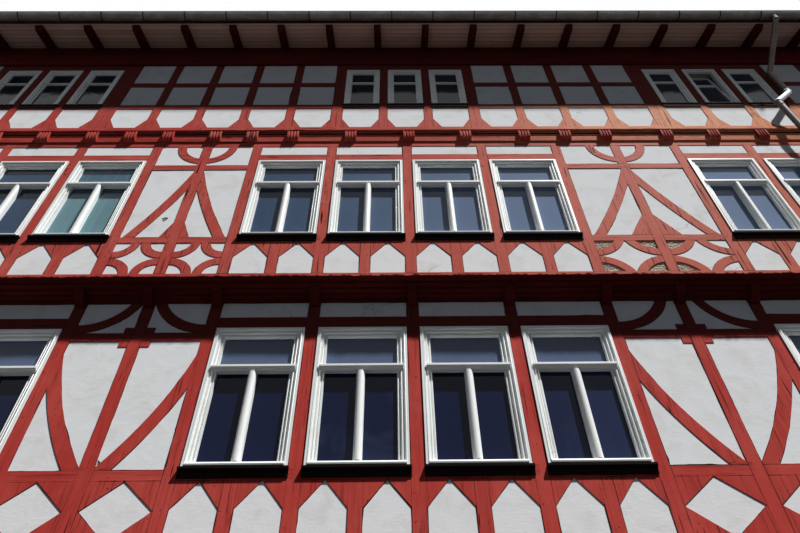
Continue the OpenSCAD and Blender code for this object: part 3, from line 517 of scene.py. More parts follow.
@dataclass(frozen=True)
class WindowGlass(Finish):
    """Panes over dark rooms: each its own depth, some with net curtains, one with a pale blind; painted sky
    reflections lighten them to the right, in the upper lights and in the second storey, and painted shade
    darkens them under the eaves.
    """

    pitch: float = 1.288
    blind: tuple[Span, Span] = ((-5.68, -4.54), (8.5, 10.60))

    def lay(self, shader: Shader) -> None:
        """Build the dark pane with what shows behind it.

        Args:
            shader: The material's tree.
        """
        aside = (shader.x < -3.5) * 0.464 + (shader.x > 3.5) * 0.554
        column = ((shader.x + aside + 0.18) / self.pitch + 40.0).floor()
        storey = (shader.z / 3.6).floor()
        own = shader.chance(column, storey)
        folds = shader.clouds(1.0, 2.0, 0.5, shader.stretch((16.0, 16.0, 0.4)))
        haze = shader.clouds(1.3, 3.0, 0.55, swirl=1.2)
        # Painted reflection of the sky: panes lighter to the right, in the upper lights and in the second
        # storey.
        low = shader.mix(swatch(16, 24, 54), swatch(42, 52, 84), shader.x.fade(0.3, 3.4))
        low = shader.mix(low, swatch(84, 98, 124), shader.bands(shader.z, ((2.60, 3.40), (6.19, 6.99))))
        high = shader.mix(swatch(50, 70, 96), swatch(112, 130, 158), shader.x.fade(-3.0, 2.8))
        colour = shader.mix(low, high, shader.z.fade(7.0, 8.4))
        colour = shader.mix(colour, swatch(92, 106, 134), own.fade(0.3, 1.0) * haze.fade(0.50, 0.80) * 0.3)
        colour = shader.mix(colour, swatch(84, 92, 112), folds.fade(0.58, 0.7) * own.fade(0.7, 0.95) * 0.2)
        # Painted shade: panes in the eaves' shadow turn dark.
        colour = shader.mix(colour, swatch(30, 32, 26), shader.z.fade(11.9, 12.2) * 0.8)
        (left, right), (foot, head) = self.blind
        cloth = (shader.x > left) * (shader.x < right) * (shader.z > foot) * (shader.z < head) \
            * (shader.y < 0.0)
        tone = shader.mix(swatch(112, 150, 156), swatch(70, 100, 118), shader.z.fade(9.60, 9.64))
        tone = shader.mix(tone, swatch(150, 178, 178), shader.z.fade(9.86, 9.88) * (shader.z < 9.98))
        tone = shader.mix(tone, swatch(92, 126, 136), folds.fade(0.4, 0.7) * 0.4)
        colour = shader.mix(colour, tone, cloth * 0.9)
        shader.surface(colour, shader.blend(0.03, 0.10, haze), [(haze, 0.004)], gloss=0.1)


@dataclass(frozen=True)
class Planks(Finish):
    """Boards that lie along the house, each with its own tone, with a thin gap between them."""

    tone: Colour = swatch(164, 132, 116)
    width: float = 0.104
    gap_tone: Colour = swatch(40, 28, 24)

    def lay(self, shader: Shader) -> None:
        """Build the rows of boards.

        Args:
            shader: The material's tree.
        """
        rows = abs(shader.y) / self.width
        ends = (shader.x / 3.7 + shader.chance(rows.floor(), 7.0)).floor()
        own = shader.chance(rows.floor(), ends)
        grain = shader.clouds(1.0, 4.0, 0.55, shader.stretch((1.4, 34.0, 34.0)), 0.4)
        share = rows.part()
        gap = (share & (1.0 - share)).fade(0.05, 0.02)
        colour = shader.mix(self.tone, tuple(v * 0.62 for v in self.tone), own * 0.55)
        colour = shader.mix(colour, tuple(v * 0.5 for v in self.tone), grain.fade(0.5, 0.8) * 0.5)
        colour = shader.mix(colour, self.gap_tone, gap * 0.9)
        shader.surface(colour, shader.blend(0.6, 0.78, grain), [(grain, 0.001), (1.0 - gap, 0.004)],
                       gloss=0.03)


@dataclass(frozen=True)
class StainedOak(Finish):
    """Dark oiled oak of the doorway."""

    tone: Colour = swatch(92, 56, 38)

    def lay(self, shader: Shader) -> None:
        """Build the oiled grain.

        Args:
            shader: The material's tree.
        """
        ring = shader.clouds(1.0, 5.0, 0.6, shader.stretch((38.0, 38.0, 1.5)), 0.5)
        wide = shader.clouds(1.0, 2.0, 0.5, shader.stretch((8.0, 8.0, 0.5)), 1.0)
        colour = shader.mix(self.tone, swatch(56, 32, 22), ring.fade(0.42, 0.7))
        colour = shader.mix(colour, swatch(124, 82, 54), wide.fade(0.55, 0.8) * 0.5)
        shader.surface(colour, shader.blend(0.38, 0.6, ring), [(ring, 0.0012)], coat=0.08)


@dataclass(frozen=True)
class CutStone(Finish):
    """Tooled sandstone, each stone with its own tone from the mesh."""

    tone: Colour = swatch(176, 150, 130)
    other_tone: Colour = swatch(146, 112, 92)
    stain_tone: Colour = swatch(96, 88, 78)
    grit: float = 0.004

    def lay(self, shader: Shader) -> None:
        """Build bedding, grit and stains.

        Args:
            shader: The material's tree.
        """
        bed = shader.clouds(1.0, 4.0, 0.6, shader.stretch((2.4, 2.4, 14.0)), 0.6)
        speck = shader.clouds(70.0, 3.0, 0.6)
        stain = shader.clouds(1.7, 3.0)
        colour = shader.mix(self.tone, self.other_tone, bed.fade(0.35, 0.7))
        colour = shader.mix(colour, tuple(v * 0.55 for v in self.other_tone), shader.own_tint() * 0.5)
        colour = shader.mix(colour, self.stain_tone, stain.fade(0.55, 0.8) * 0.45)
        colour = shader.mix(colour, tuple(min(1.0, v * 1.4) for v in self.tone), speck.fade(0.58, 0.75) * 0.4)
        shader.surface(colour, 0.88, [(bed, self.grit), (speck, self.grit * 0.4)], gloss=0.08)


@dataclass(frozen=True)
class FiredClay(Finish):
    """Old plain tiles: each fired a little differently, with soot and lichen."""

    tone: Colour = swatch(140, 74, 54)

    def lay(self, shader: Shader) -> None:
        """Build the tile's tones.

        Args:
            shader: The material's tree.
        """
        own = shader.own_tint()
        sand = shader.clouds(38.0, 4.0, 0.6)
        soot = shader.clouds(0.45, 4.0, 0.6, swirl=0.6)
        lichen = shader.clouds(11.0, 4.0, 0.65).fade(0.62, 0.70) * soot.fade(0.4, 0.6)
        colour = shader.mix(self.tone, swatch(104, 50, 40), own.fade(0.3, 1.0))
        colour = shader.mix(colour, swatch(160, 96, 68), own.fade(0.26, 0.0) * 0.8)
        colour = shader.mix(colour, swatch(70, 52, 46), soot.fade(0.45, 0.72) * 0.55)
        colour = shader.mix(colour, swatch(134, 132, 112), lichen * 0.5)
        colour = shader.mix(colour, swatch(172, 114, 88), sand.fade(0.58, 0.8) * 0.3)
        shader.surface(colour, shader.blend(0.68, 0.9, sand), [(sand, 0.002)], gloss=0.12)


@dataclass(frozen=True)
class SheetMetal(Finish):
    """Zinc sheet, from dull and dark to bright."""

    tone: Colour = swatch(92, 90, 88)
    pale: Colour = swatch(128, 128, 126)
    bright: float = 0.3
    sunlit_band: Span = (0.0, 0.0)

    def lay(self, shader: Shader) -> None:
        """Build the weathered sheet.

        Args:
            shader: The material's tree.
        """
        bloom = shader.clouds(5.0, 4.0, 0.6, swirl=0.5)
        run = shader.clouds(1.0, 3.0, 0.5, shader.stretch((26.0, 26.0, 2.0)))
        colour = shader.mix(self.tone, self.pale, bloom.fade(0.4, 0.7))
        colour = shader.mix(colour, tuple(v * 0.6 for v in self.tone), run.fade(0.55, 0.8) * 0.4)
        # Painted highlight: a bright band on the pipe where the sun strikes it.
        if self.sunlit_band[1] > self.sunlit_band[0]:
            colour = shader.mix(colour, swatch(192, 194, 194), shader.bands(shader.z, (self.sunlit_band,)))
        shader.surface(colour, shader.blend(0.62 - 0.3 * self.bright, 0.8 - 0.3 * self.bright, bloom),
                       [(bloom, 0.001)], metal=0.35 + 0.5 * self.bright)


@dataclass(frozen=True)
class Mortar(Finish):
    """Grey bedding mortar; when dark, the dark joints and the sheets of painted shade in the recesses of the
    jetty boards.
    """

    tone: Colour = swatch(150, 142, 130)

    def lay(self, shader: Shader) -> None:
        """Build the sandy bed.

        Args:
            shader: The material's tree.
        """
        sand = shader.clouds(55.0, 4.0, 0.6)
        blot = shader.clouds(4.0, 3.0)
        colour = shader.mix(self.tone, tuple(v * 0.55 for v in self.tone), blot.fade(0.4, 0.7))
        colour = shader.mix(colour, tuple(min(1.0, v * 1.5) for v in self.tone), sand.fade(0.6, 0.8) * 0.4)
        shader.surface(colour, 0.92, [(sand, 0.003)], gloss=0.05)


@dataclass(frozen=True)
class Storey:
    """One storey of the street front: its sill, its face and the heights of its members."""

    name: str
    base: float
    face: float
    plate: float
    wall: float
    window_h: float
    panel_head: float
    bar_top: float = 0.086
    own_bays: bool = False
    window_low: float = 0.978
    light: float = 0.678
    sill_top: float = 0.190
    rail_low: float = 0.832

    @property
    def cross_rail(self) -> Span:
        """Return the lower and upper edge of the rail across the braced panels."""
        top = self.plate - self.panel_head
        return top - 0.130, top

    def rails(self) -> tuple[Span, ...]:
        """List the heights in which timbers lie level.

        Returns:
            The lower and upper edge of each rail, over street level.
        """
        window_top = self.window_low + self.window_h
        inside = ((-0.3, self.sill_top), (self.rail_low, self.window_low), self.cross_rail,
                  (window_top, window_top + 0.190), (self.plate, self.wall + 0.1))
        return tuple((self.base + low, self.base + high) for low, high in inside)


@dataclass(frozen=True)
class Plan:
    """Sizes of the house in metres, in the frame's own place, as the timber frame has them."""

    window_bay: float = 1.288
    brace_bays: Span = (0.895, 0.985)
    upper_brace_bays: Span = (0.857, 1.037)
    post_w: float = 0.153
    stud_w: float = 0.150
    kinds: str = "LRWWLRWWWWLRWWLR"
    shift: float = -0.180
    sides: Span = (-8.9885, 8.9885)
    verge: float = 9.2385
    storeys: tuple[Storey, ...] = (
        Storey("ground", 0.365, -4.575, 3.345, 3.445, 1.920, 0.510),
        Storey("first", 3.955, -4.705, 3.345, 3.445, 1.920, 0.510),
        Storey("second", 7.545, -4.835, 3.360, 3.515, 1.935, 0.565, 0.062, True))
    top_base: float = 11.300
    top_face: float = -4.900
    top_levels: tuple[Span, ...] = ((-0.3, 0.14), (0.808, 0.960), (1.667, 1.819), (2.356, 2.588),
                                    (2.638, 3.0))
    top_end_field: float = 0.408
    top_posts: int = 22
    top_wide_posts: tuple[int, ...] = (1, 9, 12, 19)
    top_twin_posts: tuple[int, ...] = (4, 16)
    top_wide: float = 1.35
    top_twin: float = 2.12
    rear_face: float = 4.900
    door_bay: int = 8
    side_post: float = -4.3185
    side_bay: float = 1.28029
    side_bays: int = 7
    plain_levels: tuple[Span, ...] = ((-0.145, 0.19), (0.832, 0.979), (2.438, 2.558))
    plain_top: tuple[Span, ...] = ((11.06, 11.44), (12.108, 12.261), (13.78, 13.88), (13.96, 14.33))
    gable_levels: tuple[Span, ...] = ((15.68, 15.80), (17.03, 17.15), (18.38, 18.50))

    def width(self, bay: int, storey: Storey | None = None) -> float:
        """Work out the distance between the posts of a bay.

        Args:
            bay: The bay's number from the left.
            storey: The storey, whose braced bays may be its own.

        Returns:
            The distance from middle to middle.
        """
        if self.kinds[bay] == "W":
            return self.window_bay
        common, own = (pair[bay >= self.door_bay] for pair in (self.brace_bays, self.upper_brace_bays))
        if storey is None or not storey.own_bays:
            return common
        return own if 1 < bay < 14 else 2 * common - own

    def posts(self, storey: Storey | None = None) -> list[float]:
        """List the posts of the front.

        Args:
            storey: The storey, where its bays may be its own.

        Returns:
            The middle of each post along the front.
        """
        run = [0.0]
        for bay in range(len(self.kinds)):
            run.append(run[-1] + self.width(bay, storey))
        return [x - run[self.door_bay] + self.shift for x in run]

    def clear(self, bay: int, storey: Storey | None = None) -> Span:
        """Return the two sides of the space between the posts of a bay."""
        posts = self.posts(storey)
        return posts[bay] + self.post_w / 2, posts[bay + 1] - self.post_w / 2

    def windows(self, storey: Storey) -> list[float]:
        """Return the middles of a storey's windows."""
        return [sum(self.clear(bay, storey)) / 2 for bay, kind in enumerate(self.kinds)
                if kind == "W" and not (storey.name == "ground" and bay == self.door_bay)]

    def side_posts(self) -> list[float]:
        """Return the middles of the posts of a side wall, along it."""
        return [self.side_post + k * self.side_bay for k in range(self.side_bays + 1)]

    def post_spans(self, middles: Iterable[float]) -> list[Span]:
        """Return both sides of each post."""
        return [(x - self.post_w / 2, x + self.post_w / 2) for x in middles]

    def plain_rails(self) -> list[Span]:
        """Return the heights in which timbers lie level in the sides, the gables and the back."""
        return [(storey.base + low, storey.base + high) for storey in self.storeys
                for low, high in self.plain_levels] + [*self.plain_top, *self.gable_levels]

    def top_fields(self) -> list[Span]:
        """Work out the fields of the top storey, which has posts of three widths.

        Returns:
            The two sides of each field.
        """
        wide, twin = self.post_w * self.top_wide, self.post_w * self.top_twin
        posts = [self.post_w] * self.top_posts
        for place in self.top_wide_posts:
            posts[place] = wide
        for place in self.top_twin_posts:
            posts[place] = twin
        half_posts = wide * 2 + twin + self.post_w * 8
        count = self.top_posts - 1
        left, right = self.sides[0] - self.shift, self.sides[1] - self.shift
        common = (-left - self.top_end_field - half_posts) / (count / 2 - 1)
        last = (right - half_posts - common * (count / 2 - 2)) / 2
        fields: list[Span] = []
        x = left + posts[0]
        for place in range(count):
            wide_now = self.top_end_field if place == 0 else last if place >= count - 2 else common
            fields.append((x + self.shift, x + wide_now + self.shift))
            x += wide_now + posts[place + 1]
        return fields


class Piece:
    """Points and faces of one piece, which then becomes an object that rides with the house."""

    def __init__(self) -> None:
        """Start with nothing."""
        self.points: list[tuple[float, float, float]] = []
        self.faces: list[tuple[int, ...]] = []
        self.tints: list[float] = []

    def ring(self, points: Iterable[Point]) -> list[int]:
        """Add points.

        Args:
            points: The points.

        Returns:
            Their numbers.
        """
        first = len(self.points)
        self.points += [tuple(p) for p in points]
        return list(range(first, len(self.points)))

    def face(self, corners: Sequence[int], tint: float = 0.0) -> None:
        """Add a face with its tint."""
        self.faces.append(tuple(corners))
        self.tints.append(tint)

    def sheet(self, points: Sequence[Point]) -> None:
        """Add one face with its own points."""
        self.face(self.ring(points))

    def sweep(self, sections: Sequence[Sequence[Point]], closed: bool = True, ends: bool = True,
              tint: float = 0.0) -> None:
        """Join sections of the same number of points into a bar.

        Args:
            sections: The sections from one end to the other.
            closed: Whether each section closes on itself.
            ends: Whether both ends get a face.
            tint: The bar's tint.
        """
        rings = [self.ring(section) for section in sections]
        count = len(rings[0])
        for here, there in zip(rings, rings[1:]):
            for k in range(count if closed else count - 1):
                n = (k + 1) % count
                self.face((here[k], here[n], there[n], there[k]), tint)
        if ends and closed:
            self.face(rings[0][::-1], tint)
            self.face(rings[-1], tint)

    def stone(self, low: Point, high: Point, out: Vector, chamfer: float, tint: float) -> None:
        """Add a dressed block: a slab whose outer face is smaller by a chamfer.

        Args:
            low: The lowest corner.
            high: The highest corner.
            out: The direction of its outer face, along one axis.
            chamfer: The width of the chamfer.
            tint: The block's tint.
        """
        lo, hi = Vector(low), Vector(high)
        axis = max(range(3), key=lambda k: abs(out[k]))
        a, b = [k for k in range(3) if k != axis]
        back, front = (lo[axis], hi[axis]) if out[axis] > 0 else (hi[axis], lo[axis])
        shoulder = front - math.copysign(chamfer, out[axis])
        rings = []
        for depth, inset in ((back, 0.0), (shoulder, 0.0), (front, chamfer)):
            corners = []
            for u, v in ((lo[a] + inset, lo[b] + inset), (hi[a] - inset, lo[b] + inset),
                         (hi[a] - inset, hi[b] - inset), (lo[a] + inset, hi[b] - inset)):
                p = [0.0, 0.0, 0.0]
                p[axis], p[a], p[b] = depth, u, v
                corners.append(p)
            rings.append(corners)
        flip = (axis == 1) != (out[axis] < 0)
        self.sweep([r[::-1] for r in rings] if flip else rings, tint=tint)

    def make(self, name: str, finish: Finish, smooth: bool = False) -> bpy.types.Object:
        """Make the object, dress it and let it ride with the house.

        Args:
            name: The piece's name.
            finish: Its finish.
            smooth: Whether its faces are shaded as one round surface.

        Returns:
            The object.
        """
        mesh = bpy.data.meshes.new(name)
        mesh.from_pydata(self.points, [], self.faces)
        mesh.validate()
        layer = mesh.attributes.new("tint", "FLOAT", "FACE")
        layer.data.foreach_set("value", self.tints[:len(mesh.polygons)])
        mesh.polygons.foreach_set("use_smooth", [smooth] * len(mesh.polygons))
        mesh.materials.append(finish.material())
        made = bpy.data.objects.new(name, mesh)
        bpy.context.scene.collection.objects.link(made)
        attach(made, "root")
        LOG.info("%s: %d faces", name, len(mesh.polygons))
        return made


@dataclass
class Finishes:
    """All finishes of the house."""

    plan: Plan
    seams: Finish = Mortar("joint_shadow", "dark_timber", swatch(46, 26, 24))
    # Dark oxblood paint on the cornices and the frieze, darkened further as painted shade where they stand in
    # shadow.
    dark: PaintedTimber = PaintedTimber(
        "cornice_paint_and_shade", "dark_timber", swatch(84, 26, 24), swatch(100, 36, 32), swatch(56, 30, 24),
        Grain.LEVEL, wear=0.2)
    # Rafter tails: dark paint, darkened further as painted shade under the eaves.
    tails: PaintedTimber = PaintedTimber(
        "rafter_timber_and_shade", "dark_timber", swatch(74, 25, 23), swatch(90, 34, 30), swatch(56, 30, 24),
        Grain.LEVEL, level_axis=1)
    # Near-black sills: dark paint, darkened further as painted shadow, the shadow that each window's weather
    # bar casts on the rail below.
    sill: PaintedTimber = PaintedTimber(
        "sill_paint_and_shadow", "dark_timber", swatch(20, 11, 11), swatch(27, 16, 15), swatch(56, 44, 38),
        Grain.LEVEL, wear=0.1)
    faded: PaintedTimber = PaintedTimber(
        "faded_level", "faded_timber", swatch(186, 72, 64), swatch(202, 98, 82),
        grain=Grain.LEVEL, wear=0.7, bleach=0.8)
    heads: PaintedTimber = PaintedTimber(
        "beam_ends", "faded_timber", swatch(172, 66, 58), swatch(196, 108, 94),
        grain=Grain.UPRIGHT, wear=0.9)
    # Dark boards under the tiles, darkened as painted shade for the shadow band between gutter and soffit.
    under: Planks = Planks("roof_boards_painted_shade", "boards", swatch(62, 42, 36), 0.14)
    plaster: LimePlaster = LimePlaster("lime_plaster", "plaster")
    white: WhitePaint = WhitePaint("joinery_paint", "white_paint")
    glass: WindowGlass = WindowGlass("window_glass", "glass")
    # Pale planks, lightened further as painted light for the light thrown up from the street.
    soffit: Planks = Planks("soffit_planks_painted_light", "boards", swatch(232, 200, 180))
    floors: Planks = Planks("floor_planks", "boards", swatch(150, 118, 92), 0.16)
    oak: StainedOak = StainedOak("stained_oak", "oak")
    stone: CutStone = CutStone("tooled_sandstone", "sandstone")
    bed: Mortar = Mortar("mortar", "sandstone")
    # Pale stone, lightened further as painted light against the shade in the hollows.
    rubble: CutStone = CutStone("rubble", "sandstone", swatch(216, 206, 188), swatch(184, 172, 152),
                                grit=0.005)
    clay: FiredClay = FiredClay("fired_clay", "clay_tiles")
    gutter: SheetMetal = SheetMetal("dull_zinc", "zinc", swatch(134, 130, 124), swatch(160, 158, 152), 0.2)
    # The band from 12.0 to 12.58 m is a painted highlight where the sun strikes the pipe.
    pipe: SheetMetal = SheetMetal("pipe_zinc", "zinc", swatch(68, 60, 57), swatch(92, 85, 80), 0.3,
                                  (12.0, 12.58))
    # Painted shade: the band in the jetty's shadow, over each lower storey's sill, and the band in the eaves'
    # shadow, over street level.
    jetty_shadow_heights: Span = (2.70, 3.59)
    eaves_shadow_heights: Span = (12.12, 15.0)

    def framed(self, name: str, faded: bool, rails: Sequence[Span], posts: Sequence[Span],
               level_axis: int = 0, painted_shade_reach: Span = (0.0, 0.0)) -> PaintedTimber:
        """Choose the paint of one wall's frame, its grain along the posts and rails.

        Args:
            name: The paint's name.
            faded: Whether the sun has bleached and worn it.
            rails: The heights in which timbers lie level.
            posts: Both sides of each post along the wall.
            level_axis: The axis that the wall runs along, 0 or 1.
            painted_shade_reach: The heights in which painted shade darkens the paint, where the shadow of the
                jetty or of the eaves falls.

        Returns:
            The paint.
        """
        tones = ((swatch(186, 74, 67), swatch(200, 98, 86)) if faded
                 else (swatch(186, 64, 57), swatch(198, 82, 73)))
        return PaintedTimber(name, "faded_timber" if faded else "oxide_timber", *tones, grain=Grain.FRAMED,
                             rails=tuple(rails), posts=tuple(posts), level_axis=level_axis,
                             wear=0.7 if faded else 0.35, bleach=0.8 if faded else 0.0, painted_shade_reach=painted_shade_reach)

    def dress_walls(self) -> None:
        """Paint the frames of the front's storeys, the sides and the back."""
        plan = self.plan
        for storey in plan.storeys:
            # Painted shade in the shadow of the jetty above, for the storeys that are not bleached.
            low, high = (0.0, 0.0) if storey.own_bays else (storey.base + z for z in self.jetty_shadow_heights)
            self.framed("paint_" + storey.name, storey.own_bays, storey.rails(),
                        plan.post_spans(plan.posts(storey)), painted_shade_reach=(low, high)) \
                .dress("frame_" + storey.name)
        fields = plan.top_fields()
        top_posts = [(plan.sides[0], fields[0][0])] + [(a[1], b[0]) for a, b in zip(fields, fields[1:])] \
            + [(fields[-1][1], plan.sides[1])]
        top_rails = [(plan.top_base + low, plan.top_base + high) for low, high in plan.top_levels]
        self.framed("paint_top", True, top_rails, top_posts, painted_shade_reach=self.eaves_shadow_heights).dress("frame_top")
        rails = plan.plain_rails()
        self.framed("paint_sides", False, rails, plan.post_spans(plan.side_posts()), 1) \
            .dress("frame_left", "frame_right")
        self.framed("paint_back", False, rails, plan.post_spans(plan.posts())).dress("frame_back")

    def dress_house(self) -> None:
        """Dress every node of the house."""
        self.dress_walls()
        self.faded.dress("filler_boards")
        self.heads.dress("beam_heads")
        self.dark.dress("jetty_cornices", "frieze")
        self.tails.dress("rafter_tails")
        self.sill.dress("sills_ground", "sills_first", "sills_second", "sills_top")
        self.plaster.dress(*(name for name in NODES if name.startswith("infill_")))
        self.white.dress("rear_windows", *(name for name in NODES if name.startswith("windows_")))
        self.glass.dress("rear_glass", *(name for name in NODES if name.startswith("glass_")))
        self.soffit.dress("soffit_boards")
        self.floors.dress("upper_floors")
        self.oak.dress("door_frame", "door_leaf")
        self.stone.dress("ground_floor")
        self.bed.dress("plinth_front", "plinth_sides", "plinth_back")
        self.clay.dress("ridge_tiles")
        self.under.dress("roof_front", "roof_back", "eaves_roof")
        self.gutter.dress("gutters")
        self.pipe.dress("downpipe")


@dataclass
class Seams:
    """Thin dark joints: round the plaster fields and where timbers meet."""

    finish: Finish
    plan: Plan
    step: float = 0.07
    proud: float = 0.0007
    wide: float = 0.008
    usual: float = 0.007
    narrow: float = 0.006
    plain: float = 0.005
    board_joint: float = 0.850
    rail_joint: float = 0.955
    top_reach: Span = (0.14, 2.70)
    top_levels: tuple[float, ...] = (0.808, 0.949, 1.667, 1.819)
    twin_post: float = 0.18
    plain_reach: Span = (0.5, 13.9)

    def strip(self, piece: Piece, start: Vector, end: Vector, out: Vector, width: float) -> None:
        """Add a joint of uneven width between two points, broken off where it closes.

        Args:
            piece: The piece that takes it.
            start: Its first end.
            end: Its other end.
            out: The direction that the wall faces.
            width: Its usual width.
        """
        way = end - start
        side = way.normalized().cross(out)
        count = max(1, round(way.length / self.step))
        rows = []
        for k in range(count + 1):
            p = start + way * (k / count)
            swell = 0.5 + 1.1 * noise.noise(p * 2.3) + 0.6 * noise.noise(p * 19.0)
            w = width * max(0.12, min(1.9, swell))
            drift = side * (0.35 * width * noise.noise(p * 3.1 + Vector((7, 7, 7))))
            rows.append((p + drift - side * w / 2 + out * self.proud,
                         p + drift + side * w / 2 + out * self.proud))
        rings = [piece.ring(row) for row in rows]
        for here, there in zip(rings, rings[1:]):
            piece.face((here[0], here[1], there[1], there[0]))

    def field_edges(self, node: str, out: Vector, width: float) -> Piece:
        """Trace the plaster fields of a wall and lay a crack along their edges.

        Args:
            node: The wall's plaster.
            out: The direction that the wall faces.
            width: The crack's usual width.

        Returns:
            The cracks.
        """
        mesh = NODES[node].data
        places = [tuple(round(c, 5) for c in v.co) for v in mesh.vertices]
        face = max(Vector(p).dot(out) for p in places)
        follow: dict[Point, Point] = {}
        edges: dict[tuple[Point, Point], None] = {}
        for poly in mesh.polygons:
            corners = [places[v] for v in poly.vertices]
            if all(abs(Vector(c).dot(out) - face) < 1e-4 for c in corners):
                for a, b in zip(corners, corners[1:] + corners[:1]):
                    if (b, a) in edges:
                        del edges[(b, a)]
                    else:
                        edges[(a, b)] = None
        follow.update(edges.keys())
        piece = Piece()
        while follow:
            first = here = next(iter(follow))
            loop = []
            while here in follow:
                loop.append(Vector(here))
                here = follow.pop(here)
            if here == first and len(loop) > 2:
                self._edge_loop(piece, loop, out, width)
        return piece

    def _edge_loop(self, piece: Piece, loop: list[Vector], out: Vector, width: float) -> None:
        """Lay the crack just inside one closed edge.

        Args:
            piece: The piece that takes it.
            loop: The corners of the edge in order.
            out: The direction that the wall faces.
            width: The crack's usual width.
        """
        points: list[Vector] = []
        for a, b in zip(loop, loop[1:] + loop[:1]):
            count = max(1, round((b - a).length / self.step))
            points += [a + (b - a) * (k / count) for k in range(count)]
        size = len(points)
        outer, inner = [], []
        for k, p in enumerate(points):
            before = (p - points[k - 1]).normalized()
            after = (points[(k + 1) % size] - p).normalized()
            side = out.cross(before) + out.cross(after)
            if side.length < 0.2:
                side = out.cross(after)
            side.normalize()
            reach = 1.0 / max(0.5, side.dot(out.cross(after)))
            chip = max(0.0, noise.noise(p * 1.9 + Vector((3, 1, 5))) - 0.42) * 4.0
            swell = 0.55 + 0.9 * noise.noise(p * 2.7) + 0.5 * noise.noise(p * 17.0)
            w = width * max(0.25, swell) + 0.012 * chip * (0.6 + noise.noise(p * 31.0))
            outer.append(p + out * self.proud)
            inner.append(p + side * max(0.001, w) * reach + out * self.proud)
        rings = [piece.ring(pair) for pair in zip(outer, inner)]
        for k in range(size):
            here, there = rings[k], rings[(k + 1) % size]
            piece.face((here[0], there[0], there[1], here[1]))

    def storey_joints(self, storey: Storey) -> Piece:
        """Lay the joints between the timbers of one storey of the front.

        Args:
            storey: The storey.

        Returns:
            The joints.
        """
        piece, plan = Piece(), self.plan
        half = plan.post_w / 2
        out = Vector((0, -1, 0))

        def joint(x0: float, z0: float, x1: float, z1: float, width: float = self.usual) -> None:
            """Lay one joint, given along the front and above the storey's sill."""
            self.strip(piece, Vector((x0, storey.face, storey.base + z0)),
                       Vector((x1, storey.face, storey.base + z1)), out, width)
        for x in plan.posts(storey):
            for side in (-half, half):
                joint(x + side, storey.sill_top, x + side, storey.plate)
            for z in (storey.sill_top, storey.plate):
                joint(x - half, z, x + half, z)
        for bay, kind in enumerate(plan.kinds):
            left, right = plan.clear(bay, storey)
            if storey.name == "ground" and bay == plan.door_bay:
                continue
            joint(left, storey.rail_low, right, storey.rail_low, self.narrow)
            if kind == "W":
                middle = (left + right) / 2
                joint(left, self.board_joint, right, self.board_joint, self.narrow)
                for side in (-plan.stud_w / 2, plan.stud_w / 2):
                    joint(middle + side, storey.sill_top, middle + side, storey.rail_low)
            else:
                joint(left, self.rail_joint, right, self.rail_joint, self.narrow)
                for z in storey.cross_rail:
                    joint(left, z, right, z)
        return piece

    def top_joints(self) -> Piece:
        """Lay the joints of the top storey.

        Returns:
            The joints.
        """
        piece, plan = Piece(), self.plan
        out = Vector((0, -1, 0))
        fields = plan.top_fields()
        edges = [plan.sides[0]] + [x for span in fields for x in span] + [plan.sides[1]]

        def joint(x0: float, z0: float, x1: float, z1: float) -> None:
            """Lay one joint, given along the front and above the top storey's sill."""
            self.strip(piece, Vector((x0, plan.top_face, plan.top_base + z0)),
                       Vector((x1, plan.top_face, plan.top_base + z1)), out, self.narrow)
        low, high = self.top_reach
        for x in edges[1:-1]:
            joint(x, low, x, high)
        for a, b in zip(edges[::2], edges[1::2]):
            if b - a > self.twin_post:
                joint((a + b) / 2, low, (a + b) / 2, high)
        for left, right in fields:
            for z in self.top_levels:
                joint(left, z, right, z)
        return piece

    def plain_joints(self, side: int) -> Piece:
        """Lay the joints of a side wall or of the back.

        Args:
            side: -1 for the left wall, 1 for the right one and 0 for the back.

        Returns:
            The joints.
        """
        piece, plan = Piece(), self.plan
        half = plan.post_w / 2
        edges = [z for span in plan.plain_levels for z in span if z > 0]
        levels = [storey.base + z for storey in plan.storeys for z in edges]
        levels += [z for span in plan.plain_top[:3] for z in span][1:]
        out = Vector((side, 0, 0)) if side else Vector((0, 1, 0))
        posts = plan.side_posts() if side else plan.posts()

        def at(along: float, z: float) -> Vector:
            """Return a place on the wall's face."""
            return Vector((side * plan.sides[1], along, z)) if side else Vector((along, plan.rear_face, z))
        low, high = self.plain_reach
        for u in posts:
            for edge in (-half, half):
                self.strip(piece, at(u + edge, low), at(u + edge, high), out, self.plain)
        for a, b in zip(posts, posts[1:]):
            for z in levels:
                self.strip(piece, at(a + half, z), at(b - half, z), out, self.plain)
        return piece

    def build(self) -> None:
        """Make all seams of the house."""
        front = Vector((0, -1, 0))
        for name, out in (("ground", front), ("first", front), ("second", front), ("top", front),
                          ("left", Vector((-1, 0, 0))), ("right", Vector((1, 0, 0))),
                          ("back", Vector((0, 1, 0)))):
            self.field_edges("infill_" + name, out, self.wide).make("field_edges_" + name, self.finish)
        for storey in self.plan.storeys:
            self.storey_joints(storey).make("timber_joints_" + storey.name, self.finish)
        self.top_joints().make("timber_joints_top", self.finish)
        for name, side in (("left", -1), ("right", 1), ("back", 0)):
            self.plain_joints(side).make("timber_joints_" + name, self.finish)


